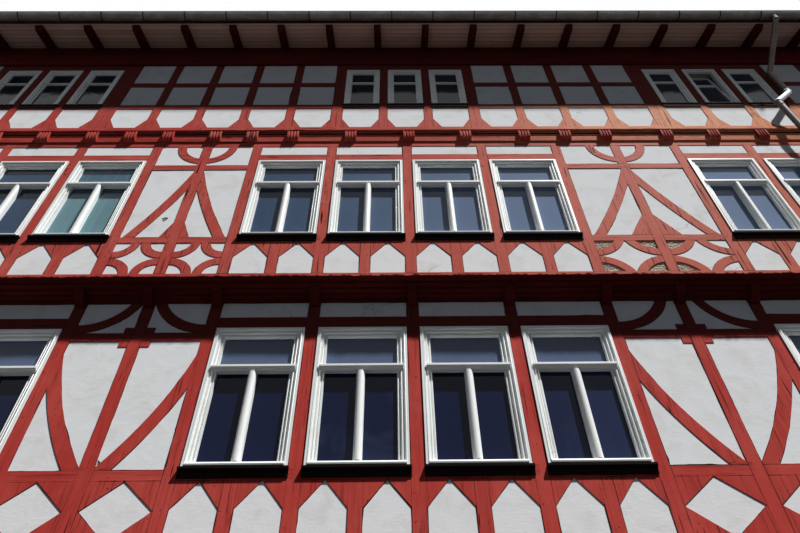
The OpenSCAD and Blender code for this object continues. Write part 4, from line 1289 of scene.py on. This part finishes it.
@dataclass
class Joinery:
    """Beads on the window casings and the seams of their sashes."""

    finishes: Finishes
    plan: Plan
    width: float = 1.119
    casing: float = 0.098
    sash_in: float = 0.0214
    sash_foot: float = 0.07
    seam_w: float = 0.003
    beads: tuple[tuple[float, float, float], ...] = ((0.034, -0.018, 0.006), (0.076, 0.0, 0.005),
                                                     (0.116, 0.022, 0.005))

    def bead(self, piece: Piece, x: float, base: float, height: float, face: float, inset: float,
             depth: float, radius: float) -> None:
        """Run a half-round bead up, over and down a casing with mitred corners.

        Args:
            piece: The piece that takes it.
            x: The window's middle.
            base: The window's lower edge.
            height: Its height.
            face: The face of the wall.
            inset: The bead's middle, in from the casing's edge.
            depth: The depth of the step that it lies on, into the wall.
            radius: Its radius.
        """
        turns = [math.pi * k / 5 for k in range(6)]
        sections = []
        for corner in range(4):
            ring = []
            for turn in turns:
                d = inset + radius * math.cos(turn)
                side = -1 if corner in (0, 1) else 1
                z = base + (inset * 0.6 if corner in (0, 3) else height - d)
                ring.append((x + side * (self.width / 2 - d), face + depth - radius * math.sin(turn), z))
            sections.append(ring)
        piece.sweep(sections, closed=False, ends=False)

    def build(self) -> None:
        """Make the beads and seams of every storey."""
        for storey in self.plan.storeys:
            beads, seams = Piece(), Piece()
            for x in self.plan.windows(storey):
                base = storey.base + storey.window_low
                for inset, depth, radius in self.beads:
                    self.bead(beads, x, base, storey.window_h, storey.face, inset, depth, radius)
                self._seam(seams, x, base, storey)
            beads.make("casing_beads_" + storey.name, self.finishes.white, True)
            seams.make("sash_seams_" + storey.name, self.finishes.seams)

    def _seam(self, piece: Piece, x: float, base: float, storey: Storey) -> None:
        """Add the dark lines beside the lights of one window.

        Args:
            piece: The piece that takes them.
            x: The window's middle.
            base: The window's lower edge.
            storey: Its storey.
        """
        y = storey.face + self.sash_in
        half = self.width / 2 - self.casing
        top = base + storey.window_h
        bar = top - storey.light
        for low, high in ((base + self.sash_foot, bar - 0.01),
                          (bar + storey.bar_top + 0.003, top - self.casing)):
            for side in (-1, 1):
                a, b = sorted((x + side * half, x + side * (half - self.seam_w)))
                piece.sheet([(a, y, low), (b, y, low), (b, y, high), (a, y, high)])


@dataclass
class Jetty:
    """The ragged painted edge along the moulded cornices, the fluted beam heads of the third jetty, and
    sheets of painted shade in the recesses of its boards.
    """

    finish: Finish
    ends: Finish
    shade_finish: Finish
    plan: Plan
    reach: float = 0.300
    head_w: float = 0.200
    flutes: int = 3
    flute: Span = (0.017, 0.015)
    edge_step: float = 0.015
    board_step: float = 0.12
    lap: float = 0.01
    head_back: Span = (-0.001, -0.252)
    left_heads: tuple[float, ...] = (0.971, 0.893, 0.817, 0.722, 0.626, 0.55, 0.475, 0.381, 0.308, 0.227,
                                     0.112)
    right_heads: tuple[float, ...] = (0.004, 0.113, 0.226, 0.305, 0.383, 0.502, 0.593, 0.688, 0.783, 0.874,
                                      0.971)
    head_side: tuple[Span, ...] = ((0.066, -0.003), (0.079, -0.014), (0.086, -0.034), (0.088, -0.070),
                                   (0.087, -0.120), (0.084, -0.165), (0.077, -0.196), (0.064, -0.219),
                                   (0.042, -0.238), (0.020, -0.248))
    board_side: tuple[Span, ...] = ((0.030, -0.001), (0.030, -0.018), (0.056, -0.022), (0.057, -0.037),
                                    (0.038, -0.041), (0.038, -0.086), (0.022, -0.258), (0.018, -0.263))
    # Sheets of painted shade: depth, upper and lower height of each.
    shade_sheets: tuple[tuple[float, float, float], ...] = ((0.031, -0.0015, -0.0175), (0.039, -0.042, -0.080))

    def lip(self, name: str, face: float, base: float) -> None:
        """Make the uneven edge on one cornice.

        Args:
            name: The piece's name.
            face: The face of the wall under the cornice.
            base: The height of the storey over it.
        """
        piece = Piece()
        y = face - self.reach
        x0, x1 = self.plan.sides
        count = int((x1 - x0) / self.edge_step)
        sections = []
        for k in range(count + 1):
            x = x0 + (x1 - x0) * k / count
            p = Vector((x, y, base))
            drop = 0.012 + 0.014 * noise.noise(p * 7.0) + 0.010 * noise.noise(p * 29.0)
            drop -= 0.016 * (noise.noise(p * 17.0 + Vector((2, 8, 1))) > 0.12)
            lift = 0.004 + 0.003 * noise.noise(p * 13.0)
            out = 0.005 + 0.004 * noise.noise(p * 11.0 + Vector((4, 4, 4)))
            sections.append([(x, y + 0.02, base - 0.006 + lift), (x, y - out, base - 0.015 + lift),
                             (x, y - out, base - 0.030 - drop), (x, y + 0.0005, base - 0.044 - drop * 0.3)])
        piece.sweep(sections, closed=True)
        piece.make(name, self.finish)

    def head_places(self) -> list[float]:
        """List the beam heads.

        Returns:
            The middle of each along the front.
        """
        (left, right), shift = self.plan.sides, self.plan.shift
        return [(left - shift) * share + shift for share in self.left_heads] \
            + [(right - shift) * share + shift for share in self.right_heads]

    def head(self, piece: Piece, x: float) -> None:
        """Carve one beam head: a round nose over a long throat, with upright flutes.

        Args:
            piece: The piece that takes it.
            x: Its middle.
        """
        face, top = self.plan.storeys[2].face, self.plan.top_base
        half = self.head_w / 2
        grooves = [(2 * k / (self.flutes + 1) - 1) * half for k in range(1, self.flutes + 1)]
        stops = {-half, -half + 0.005, half - 0.005, half}
        flute_half, flute_deep = self.flute
        back_top, back_low = self.head_back
        for groove in grooves:
            stops |= {groove + step for step in (-flute_half, -0.013, -0.007, 0.0, 0.007, 0.013, flute_half)}
        droop = 1.0 + 0.03 * noise.noise(Vector((x * 5.0, 2.0, 1.0)))
        sections = []
        for stop in sorted(stops):
            near = min(abs(stop - groove) for groove in grooves) / flute_half
            cut = flute_deep * math.sqrt(max(0.0, 1.0 - near * near))
            cut += 0.004 if abs(stop) > half - 0.002 else 0.0
            side = [(max(0.004, out - cut), low - cut * 0.4) for out, low in self.head_side]
            rough = 0.002 * noise.noise(Vector((x + stop * 9.0, 5.0, 3.0)))
            sections.append([(x + stop, face - out - rough, top + low * droop)
                             for out, low in [(0.0, back_top)] + side + [(0.0, back_low)]])
        piece.sweep(sections)

    def board(self, piece: Piece, left: float, right: float) -> None:
        """Run one moulded board, a little uneven, from one beam head to the next.

        Args:
            piece: The piece that takes it.
            left: Its left end.
            right: Its right end.
        """
        face, top = self.plan.storeys[2].face, self.plan.top_base
        profile = ((0.0, -0.001),) + self.board_side + ((0.0, -0.263),)
        count = max(1, round((right - left) / self.board_step))
        sections = []
        for k in range(count + 1):
            x = left + (right - left) * k / count
            section = []
            for out, low in profile:
                bulge = 0.0015 * noise.noise(Vector((x * 3.0, low * 40.0, 1.0)))
                sag = 0.003 * noise.noise(Vector((x * 2.0, low * 30.0, 9.0))) * (low < -0.01)
                section.append((x, face - out - bulge, top + low + sag))
            sections.append(section)
        piece.sweep(sections)

    def jetty_boards(self) -> None:
        """Make the beam heads under the top storey, the moulded boards between them, and dark sheets of
        painted shade in the boards' recesses.
        """
        face, top = self.plan.storeys[2].face, self.plan.top_base
        heads, boards, shade_sheets = Piece(), Piece(), Piece()
        places = sorted(self.head_places())
        for x in places:
            self.head(heads, x)
        reach = self.head_w / 2 - self.lap
        ends = [self.plan.sides[0] - reach] + places + [self.plan.sides[1] + reach]
        for here, there in zip(ends, ends[1:]):
            left, right = here + reach, there - reach
            self.board(boards, left, right)
            # Painted shade: dark sheets just in front of the recessed faces, where the shadow of the rail and
            # of the nose falls.
            for out, high, low in self.shade_sheets:
                y = face - out - 0.0015
                shade_sheets.sheet([(left, y, top + low), (right, y, top + low),
                                (right, y, top + high), (left, y, top + high)])
        shade_sheets.make("board_painted_shade", self.shade_finish)
        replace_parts(heads.make("carved_heads", self.ends), "beam_heads")
        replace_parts(boards.make("moulded_boards", self.finish), "filler_boards")

    def build(self) -> None:
        """Make the edges of both cornices and the boards of the third jetty."""
        self.lip("cornice_lip_first", self.plan.storeys[0].face, self.plan.storeys[1].base)
        self.lip("cornice_lip_second", self.plan.storeys[1].face, self.plan.storeys[2].base)
        self.jetty_boards()


@dataclass
class Rubble:
    """Rough stones that show where the plaster of a few parapet corners is lost."""

    finish: Finish
    plan: Plan
    cell: float = 0.055
    grid: float = 0.008
    hollow: float = 0.0322
    round_w: float = 0.1449
    round_h: float = 0.1311
    overlap: float = 0.001
    bare_bays: tuple[int, int] = (10, 11)
    hole_post: int = 5
    upper_hole_off: float = 0.24
    upper_hole: Span = (0.045, 0.048)
    upper_hole_z: Span = (1.32, 1.43)
    lower_hole: Span = (0.078, 0.17)
    lower_hole_z: Span = (0.946, 1.077)

    def patch(self, piece: Piece, x0: float, z0: float, x1: float, z1: float, depth: float) -> None:
        """Fill a hollow with stones as a raised sheet.

        Args:
            piece: The piece that takes it.
            x0: Its left edge.
            z0: Its lower edge.
            x1: Its right edge.
            z1: Its upper edge.
            depth: The plane at the bottom of the hollow.
        """
        rng = random.Random(int(1000 * (x0 + 20)))
        seeds = []
        for i in range(int((x1 - x0) / self.cell) + 2):
            for j in range(int((z1 - z0) / self.cell / 0.7) + 2):
                seeds.append((x0 + (i + rng.uniform(-0.4, 0.4) + 0.5 * (j % 2)) * self.cell * 1.25,
                              z0 + (j + rng.uniform(-0.3, 0.3)) * self.cell * 0.7, rng.random()))
        nx, nz = int((x1 - x0) / self.grid) + 1, int((z1 - z0) / self.grid) + 1
        rows, tints = [], []
        for j in range(nz + 1):
            row = []
            for i in range(nx + 1):
                x, z = x0 + (x1 - x0) * i / nx, z0 + (z1 - z0) * j / nz
                (first, tint), (second, _) = sorted(
                    (math.hypot((x - sx) * 0.8, (z - sz) * 1.25), own) for sx, sz, own in seeds)[:2]
                rise = min(1.0, (second - first) / 0.014)
                swell = 0.004 * noise.noise(Vector((x, 3.0, z)) * 40.0)
                row.append((x, depth - 0.011 - 0.009 * rise * (0.6 + 0.4 * tint) - swell * rise, z))
                tints.append(tint if rise > 0.4 else 0.0)
            rows.append(piece.ring(row))
        for j in range(nz):
            for i in range(nx):
                piece.face((rows[j][i], rows[j][i + 1], rows[j + 1][i + 1], rows[j + 1][i]),
                           tints[j * (nx + 1) + i])

    def build(self) -> None:
        """Make the stones of the six bare corners and of the two holes at the braces."""
        storey = self.plan.storeys[2]
        low, high = storey.base + storey.sill_top, storey.base + storey.rail_low
        depth = storey.face + self.hollow
        width = self.plan.upper_brace_bays[1] - self.plan.post_w
        inner_w, inner_h = width / 2 - self.round_w, (high - low) / 2 - self.round_h
        piece = Piece()
        left, right = (self.plan.clear(bay, storey)[0] for bay in self.bare_bays)
        over = self.overlap
        for x in (left, left + width - inner_w, right):
            for z in (low, high - inner_h):
                self.patch(piece, x - over, z - over, x + inner_w + over, z + inner_h + over, depth)
        x = self.plan.posts(storey)[self.hole_post] - self.upper_hole_off
        low, high = (storey.base + z for z in self.upper_hole_z)
        self.patch(piece, x - self.upper_hole[0], low, x + self.upper_hole[1], high, depth)
        first = self.plan.storeys[1]
        x = self.plan.posts(first)[self.hole_post]
        low, high = (first.base + z for z in self.lower_hole_z)
        self.patch(piece, x + self.lower_hole[0], low, x + self.lower_hole[1], high,
                   first.face + self.hollow)
        piece.make("bare_rubble", self.finish)


@dataclass
class Roof:
    """Courses of plain tiles with round tails, ridge tiles and their mortar."""

    finishes: Finishes
    plan: Plan
    width: float = 0.178
    gauge: float = 0.162
    tip: Span = (5.580, 14.5524)
    kink: Span = (4.4666, 15.0023)
    crown: Span = (0.0, 20.3254)
    round_tail: tuple[Span, ...] = ((-0.5, 0.055), (-0.42, 0.026), (-0.25, 0.007), (0.0, 0.0), (0.25, 0.007),
                                    (0.42, 0.026), (0.5, 0.055))
    slack: float = 0.003
    twist: float = 0.002
    share: float = 0.985
    tail_faces: Span = (0.026, 0.012)
    tilt: float = 0.1
    head_lap: float = 0.05
    head_off: float = 0.004
    ridge_foot: float = 20.106
    ridge_half: tuple[Span, ...] = ((0.0, 20.374), (0.066, 20.350), (0.118, 20.282), (0.150, 20.192),
                                    (0.165, 20.106))
    ridge_pitch: float = 0.355
    ridge_lap: float = 0.03
    collar: float = 1.10
    collar_w: Span = (0.045, 0.05)
    bed_steps: int = 160
    bed_inner: float = 0.14
    bed_outer: float = 0.183
    bed_wander: float = 0.012
    bed_z: Span = (20.12, 20.20)
    bed_slope: Span = (20.325, 1.19)
    shade: random.Random = field(default_factory=lambda: random.Random(11))

    def course(self, piece: Piece, side: int, foot: Span, up: Span, row: int) -> None:
        """Lay one course.

        Args:
            piece: The slope's tiles.
            side: -1 for the street side, 1 for the back.
            foot: Distance from the ridge and height of the tails' foot on the slope.
            up: The direction up the slope.
            row: The course's number, which sets its bond.
        """
        tail = self.round_tail
        edge = self.plan.verge
        normal = (up[1], -up[0])
        count = int(2 * edge / self.width) + 2
        for k in range(count):
            middle = -edge + (k + 0.5 * (row % 2)) * self.width
            lift = self.shade.uniform(0.0, self.slack)
            tint = self.shade.random()
            skew = self.shade.uniform(-self.twist, self.twist)

            def at(x: float, s: float, h: float) -> Point:
                """Place a point of the tile.

                Args:
                    x: Its place along the house.
                    s: How far it lies up the slope from the course's foot.
                    h: How far it stands off the slope.

                Returns:
                    The point, held inside the verges.
                """
                u = foot[0] + up[0] * s + normal[0] * h
                z = foot[1] + up[1] * s + normal[1] * h
                return max(-edge, min(edge, x)), side * u, z
            span = self.width * self.share
            if middle + span / 2 <= -edge + 0.01 or middle - span / 2 >= edge - 0.01:
                continue
            top, low = ([at(middle + u * span, s + skew * u, off + lift - self.tilt * s) for u, s in tail]
                        for off in self.tail_faces)
            head = [at(middle + end, self.gauge + self.head_lap, self.head_off)
                    for end in (span / 2, -span / 2)]
            a, b, c = piece.ring(top), piece.ring(low), piece.ring(head)
            order = a + c
            piece.face(order if side < 0 else order[::-1], tint)
            for n in range(len(tail) - 1):
                quad = (b[n], b[n + 1], a[n + 1], a[n])
                piece.face(quad if side < 0 else quad[::-1], tint)

    def slope(self, side: int, name: str) -> None:
        """Lay the tiles of one side, from the gutter over the flare up to the ridge.

        Args:
            side: -1 for the street side, 1 for the back.
            name: The piece's name.
        """
        piece = Piece()
        row = 0
        for start, end in ((self.tip, self.kink), (self.kink, self.crown)):
            length = math.dist(start, end)
            up = ((end[0] - start[0]) / length, (end[1] - start[1]) / length)
            rows = int(length / self.gauge)
            for k in range(rows):
                s = k * length / rows
                self.course(piece, side, (start[0] + up[0] * s, start[1] + up[1] * s), up, row)
                row += 1
        piece.make(name, self.finishes.clay)

    def ridge(self) -> None:
        """Lay the lapped ridge tiles and their bedding."""
        tiles, bed = Piece(), Piece()
        profile = [(-y, z) for y, z in self.ridge_half[:0:-1]] + list(self.ridge_half)
        edge, foot = self.plan.verge, self.ridge_foot
        count = round(2 * edge / self.ridge_pitch)
        for k in range(count):
            x0 = -edge + 2 * edge * k / count
            x1 = min(edge, x0 + 2 * edge / count + self.ridge_lap)
            flat, drop = self.collar_w
            grow = [(x0, self.collar), (x0 + flat, self.collar), (x0 + drop, 1.0), (x1, 0.97)]
            sections = []
            for x, size in grow:
                tall = 0.985 + 0.09 * (size - 1)
                outer = [(x, y * size, foot + (z - foot) * tall) for y, z in profile]
                inner = [(x, y * size * size * 0.91,
                          foot + (z - foot) * 0.985 - (0.016 if 1 < i < 7 else 0.0))
                         for i, (y, z) in enumerate(profile)]
                sections.append(outer + inner[::-1])
            tiles.sweep(sections, tint=self.shade.random())
        (bed_low, bed_top), (crest, fall) = self.bed_z, self.bed_slope
        for side in (-1, 1):
            sections = []
            for k in range(self.bed_steps + 1):
                x = -edge + 2 * edge * k / self.bed_steps
                y = self.bed_outer + self.bed_wander * noise.noise(Vector((x * 5.0, side, 0)))
                z = crest - fall * y
                sections.append([(x, side * self.bed_inner, bed_top), (x, side * (y - 0.02), z + 0.075),
                                 (x, side * y, z + 0.02), (x, side * self.bed_inner, bed_low)])
            bed.sweep(sections if side < 0 else [s[::-1] for s in sections])
        made = tiles.make("ridge_caps", self.finishes.clay)
        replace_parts(made, "ridge_tiles")
        bed.make("ridge_mortar", self.finishes.bed)

    def build(self) -> None:
        """Make both slopes and the ridge."""
        self.slope(-1, "tiles_front")
        self.slope(1, "tiles_back")
        self.ridge()


@dataclass
class Metalwork:
    """Joints and straps of the gutters and rings of the downpipe."""

    finishes: Finishes
    centre: Span = (5.675, 14.5525)
    radius: float = 0.0955
    strap_t: float = 0.0035
    strap_half: float = 0.011
    strap_steps: int = 14
    ring_steps: int = 32
    strap_first: float = -8.93
    strap_pitch: float = 0.85
    straps_a_side: int = 22
    lip: float = 5.7755
    ring_spots: tuple[tuple[float, float, float], ...] = (
        (7.482, -5.675, 14.40), (7.167, -4.995, 13.12), (7.167, -4.995, 12.62), (6.714, -5.072, 11.86))
    lower_rings: tuple[float, ...] = (10.1, 8.3, 7.0, 5.0, 3.6, 1.4, 0.5)
    ring_side: tuple[Span, ...] = ((0.0555, -0.020), (0.060, -0.014), (0.0615, 0.0), (0.060, 0.014),
                                   (0.0555, 0.020))

    def straps(self) -> None:
        """Make the straps round both gutters."""
        piece = Piece()
        turns = [math.pi + math.pi * k / self.strap_steps for k in range(self.strap_steps + 1)]
        inner, outer = ([(self.centre[0] + r * math.cos(t), self.centre[1] + r * math.sin(t)) for t in turns]
                        for r in (self.radius, self.radius + self.strap_t))
        outline = inner + outer[::-1]
        for side in (-1, 1):
            for k in range(self.straps_a_side):
                x = self.strap_first + k * self.strap_pitch
                piece.sweep([[(x + w, side * min(u, self.lip), z) for u, z in outline]
                             for w in (-self.strap_half, self.strap_half)])
        piece.make("gutter_straps", Mortar("strap_shadow", "zinc", swatch(52, 50, 50)))

    def rings(self) -> None:
        """Make the beaded rings where lengths of the downpipe join."""
        piece = Piece()
        foot_x, foot_y, _ = self.ring_spots[-1]
        for x, y, z in self.ring_spots + tuple((foot_x, foot_y, z) for z in self.lower_rings):
            sections = []
            for k in range(self.ring_steps + 1):
                turn = 2 * math.pi * k / self.ring_steps
                sections.append([(x + r * math.cos(turn), y + r * math.sin(turn), z + h)
                                 for r, h in self.ring_side])
            piece.sweep([s[::-1] for s in sections], closed=False, ends=False)
        piece.make("pipe_rings", self.finishes.pipe, True)

    def build(self) -> None:
        """Make the metal details."""
        self.straps()
        self.rings()


@dataclass
class Plinth:
    """Dressed blocks in two courses over the plinth."""

    finish: Finish
    plan: Plan
    proud: float = 0.012
    joint: float = 0.007
    courses: tuple[Span, ...] = ((0.0, 0.172), (0.172, 0.365))
    block: Span = (0.42, 0.78)
    shortest: float = 0.25
    seat: float = 0.01
    uneven: float = 0.002
    chamfer: float = 0.006
    along: Span = (-9.0285, 9.0285)
    across: Span = (-4.615, 4.940)

    def run(self, piece: Piece, start: float, end: float, plane: float, out: Vector, seed: int) -> None:
        """Lay two courses of blocks along one wall.

        Args:
            piece: The piece that takes them.
            start: Where the wall begins, along it.
            end: Where it ends.
            plane: The face of the plinth.
            out: The direction that the wall faces.
            seed: What sets the blocks' lengths.
        """
        rng = random.Random(seed)
        axis = 0 if abs(out.y) > 0 else 1
        sign = out[1 - axis]
        for low, high in self.courses:
            at = start
            while at < end - self.seat:
                reach = min(end, at + rng.uniform(*self.block))
                if end - reach < self.shortest:
                    reach = end
                face = plane + sign * (self.proud + rng.uniform(-self.uneven, self.uneven))
                a = [0.0, 0.0, low + self.joint / 2]
                b = [0.0, 0.0, high - self.joint / 2]
                a[axis], b[axis] = at + self.joint / 2, reach - self.joint / 2
                a[1 - axis], b[1 - axis] = sorted((plane - sign * self.seat, face))
                piece.stone(a, b, out, self.chamfer, rng.random())
                at = reach

    def build(self) -> None:
        """Make the blocks of all four sides."""
        piece = Piece()
        left, right = self.plan.clear(self.plan.door_bay)
        (x0, x1), (y0, y1) = self.along, self.across
        self.run(piece, x0, left, y0, Vector((0, -1, 0)), 3)
        self.run(piece, right, x1, y0, Vector((0, -1, 0)), 4)
        self.run(piece, x0, x1, y1, Vector((0, 1, 0)), 5)
        self.run(piece, y0, y1, x0, Vector((-1, 0, 0)), 6)
        self.run(piece, y0, y1, x1, Vector((1, 0, 0)), 7)
        piece.make("plinth_blocks", self.finish)


@dataclass
class Doorway:
    """Handle, strap hinges and the bars of the light over the door."""

    finishes: Finishes
    plan: Plan
    handle: tuple[float, float, float] = (-0.0235, -3.58, 1.12)
    lever: tuple[Span, ...] = ((0.0, 0.0), (0.05, 0.0), (0.058, -0.012), (0.058, -0.13))
    lever_r: float = 0.010
    plate_half: float = 0.03
    plate_z: Span = (-0.11, 0.09)
    plate_t: float = 0.004
    strap_half: float = 0.022
    strap_t: float = 0.006
    hinges: tuple[float, ...] = (0.42, 2.05)
    hinge_reach: Span = (-4.41, -3.80)
    light: Span = (2.44, 3.183)
    light_in: float = 0.08
    bar_half: float = 0.014
    cross_bar: Span = (2.86, 2.892)
    pane_faces: tuple[tuple[float, int], ...] = ((-4.4925, -1), (-4.4815, 1))
    bar_back: float = -4.4945
    bar_face: float = -4.512
    cross_face: float = -4.515

    def bar(self, piece: Piece, path: Sequence[Point], radius: float) -> None:
        """Add a round bar of ten sides along a path.

        Args:
            piece: The piece that takes it.
            path: The points that its middle runs through.
            radius: Its radius.
        """
        spots = [Vector(p) for p in path]
        sections = []
        for k, p in enumerate(spots):
            way = (spots[min(k + 1, len(spots) - 1)] - spots[max(k - 1, 0)]).normalized()
            side = way.cross(Vector((0, 0, 1)) if abs(way.z) < 0.9 else Vector((0, 1, 0))).normalized()
            up = side.cross(way)
            sections.append([p + (side * math.cos(t) + up * math.sin(t)) * radius
                             for t in (2 * math.pi * n / 10 for n in range(10))])
        piece.sweep(sections)

    def build(self) -> None:
        """Make the door's ironwork and the glazing over it."""
        iron = Piece()
        x, y, z = self.handle
        into = Vector((1, 0, 0))
        self.bar(iron, [(x + out, y + along, z) for out, along in self.lever], self.lever_r)
        near, far = self.hinge_reach
        for height in self.hinges:
            iron.stone((x, near, height - self.strap_half), (x + self.strap_t, far, height + self.strap_half),
                       into, 0.002, 0.0)
        low, high = (z + step for step in self.plate_z)
        iron.stone((x, y - self.plate_half, low), (x + self.plate_t, y + self.plate_half, high), into,
                   0.0015, 0.0)
        iron.make("door_iron", SheetMetal("door_iron", "oak", swatch(48, 46, 46), swatch(72, 70, 68), 0.4))
        left, right = self.plan.clear(self.plan.door_bay)
        left, right = left + self.light_in, right - self.light_in
        low, high = self.light
        bar_low, bar_high = self.cross_bar
        street = Vector((0, -1, 0))
        pane, bars = Piece(), Piece()
        for face, sign in self.pane_faces:
            near, far = sorted((face, face + sign * 0.002))
            pane.stone((left, near, low), (right, far, high), Vector((0, sign, 0)), 0.0005, 0.0)
        for x in (left + (right - left) / 3, left + 2 * (right - left) / 3):
            bars.stone((x - self.bar_half, self.bar_face, low), (x + self.bar_half, self.bar_back, high),
                       street, 0.006, 0.0)
        bars.stone((left, self.cross_face, bar_low), (right, self.bar_back, bar_high), street, 0.006, 0.0)
        pane.make("door_light_glass", self.finishes.glass)
        bars.make("door_light_bars", self.finishes.oak)


@dataclass
class Studio:
    """Pale floor, soft light from the upper right, white surroundings and the view from the street."""

    sun: float = 6.1
    fill: float = 2.4
    sky: float = 0.075
    sky_tone: Colour = (0.60, 0.78, 1.0)
    floor_edges: tuple[float, ...] = (-90.0, -30.0, 30.0, 90.0)
    floor_seen: tuple[Colour, Colour] = (swatch(162, 162, 162), swatch(158, 158, 158))
    floor_thrown: Colour = swatch(54, 54, 56)
    focal: float = 27.99
    film: float = 36.0
    far: float = 400.0
    light_way: tuple[float, float, float] = (-1.2, 1.0, -2.8)
    fill_way: tuple[float, float, float] = (1.0, -1.0, -0.8)
    eye: tuple[float, float, float] = (-0.430, -10.705, 1.600)
    right: tuple[float, float, float] = (0.99992, -0.00319, -0.01198)
    up: tuple[float, float, float] = (0.00588, -0.72904, 0.68444)
    back: tuple[float, float, float] = (-0.01092, -0.68446, -0.72897)

    def floor(self) -> None:
        """Make the floor, pale to the eye and duller to the light that it throws back."""
        mesh = bpy.data.meshes.new("studio_floor")
        rows = [(x, y, -0.002) for y in self.floor_edges for x in self.floor_edges]
        mesh.from_pydata(rows, [], [(r * 4 + c, r * 4 + c + 1, r * 4 + c + 5, r * 4 + c + 4)
                                    for r in range(3) for c in range(3)])
        material = bpy.data.materials.new("studio_floor")
        shader = Shader(material)
        seen = shader.node("ShaderNodeLightPath", {}, {}, "Is Camera Ray")
        pale = shader.mix(*self.floor_seen, shader.clouds(1.5, 3.0))
        shader.surface(shader.mix(self.floor_thrown, pale, seen), 0.9, gloss=0.1)
        mesh.materials.append(material)
        made = bpy.data.objects.new("studio_floor", mesh)
        bpy.context.scene.collection.objects.link(made)

    def lights(self) -> None:
        """Make the key lamp, the broad lamp for the far sides and the surroundings."""
        for name, energy, angle, way in (("key_lamp", self.sun, 1.8, self.light_way),
                                         ("far_lamp", self.fill, 60.0, self.fill_way)):
            lamp = bpy.data.lights.new(name, "SUN")
            lamp.energy = energy
            lamp.angle = math.radians(angle)
            made = bpy.data.objects.new(name, lamp)
            made.rotation_euler = Vector(way).to_track_quat("-Z", "Y").to_euler()
            bpy.context.scene.collection.objects.link(made)
        world = bpy.data.worlds.new("surroundings")
        bpy.context.scene.world = world
        shader = Shader(world)
        seen = shader.node("ShaderNodeLightPath", {}, {}, "Is Camera Ray")
        white_rays = seen | seen.other("Is Glossy Ray") | seen.other("Is Transmission Ray")
        soft = shader.node("ShaderNodeBackground", {}, {"Color": self.sky_tone, "Strength": self.sky})
        white = shader.node("ShaderNodeBackground", {}, {"Color": (1.0, 1.0, 1.0), "Strength": 1.0})
        both = shader.node("ShaderNodeMixShader", {}, {0: white_rays, 1: soft, 2: white})
        shader.add("ShaderNodeOutputWorld", {}, {"Surface": both})

    def camera(self) -> None:
        """Set the camera low in the street, looking steeply up."""
        lens = bpy.data.cameras.new("street_view")
        lens.lens, lens.sensor_width, lens.clip_end = self.focal, self.film, self.far
        made = bpy.data.objects.new("street_view", lens)
        axes = Matrix((self.right, self.up, self.back)).transposed()
        made.matrix_world = Matrix.Translation(self.eye) @ axes.to_4x4()
        bpy.context.scene.collection.objects.link(made)
        bpy.context.scene.camera = made

    def build(self) -> None:
        """Make the studio and its plain colour handling."""
        self.camera()
        self.floor()
        self.lights()
        bpy.context.scene.view_settings.view_transform = "Standard"


def main() -> None:
    """Build the studio, the finishes and every piece of the house."""
    logging.basicConfig(level=logging.INFO, format="%(name)s %(message)s")
    plan = Plan()
    Studio().build()
    finishes = Finishes(plan)
    finishes.dress_house()
    Seams(finishes.seams, plan).build()
    Joinery(finishes, plan).build()
    Jetty(finishes.faded, finishes.heads, finishes.seams, plan).build()
    Rubble(finishes.rubble, plan).build()
    Roof(finishes, plan).build()
    Metalwork(finishes).build()
    Plinth(finishes.stone, plan).build()
    Doorway(finishes, plan).build()


if __name__ == "__main__":
    main()
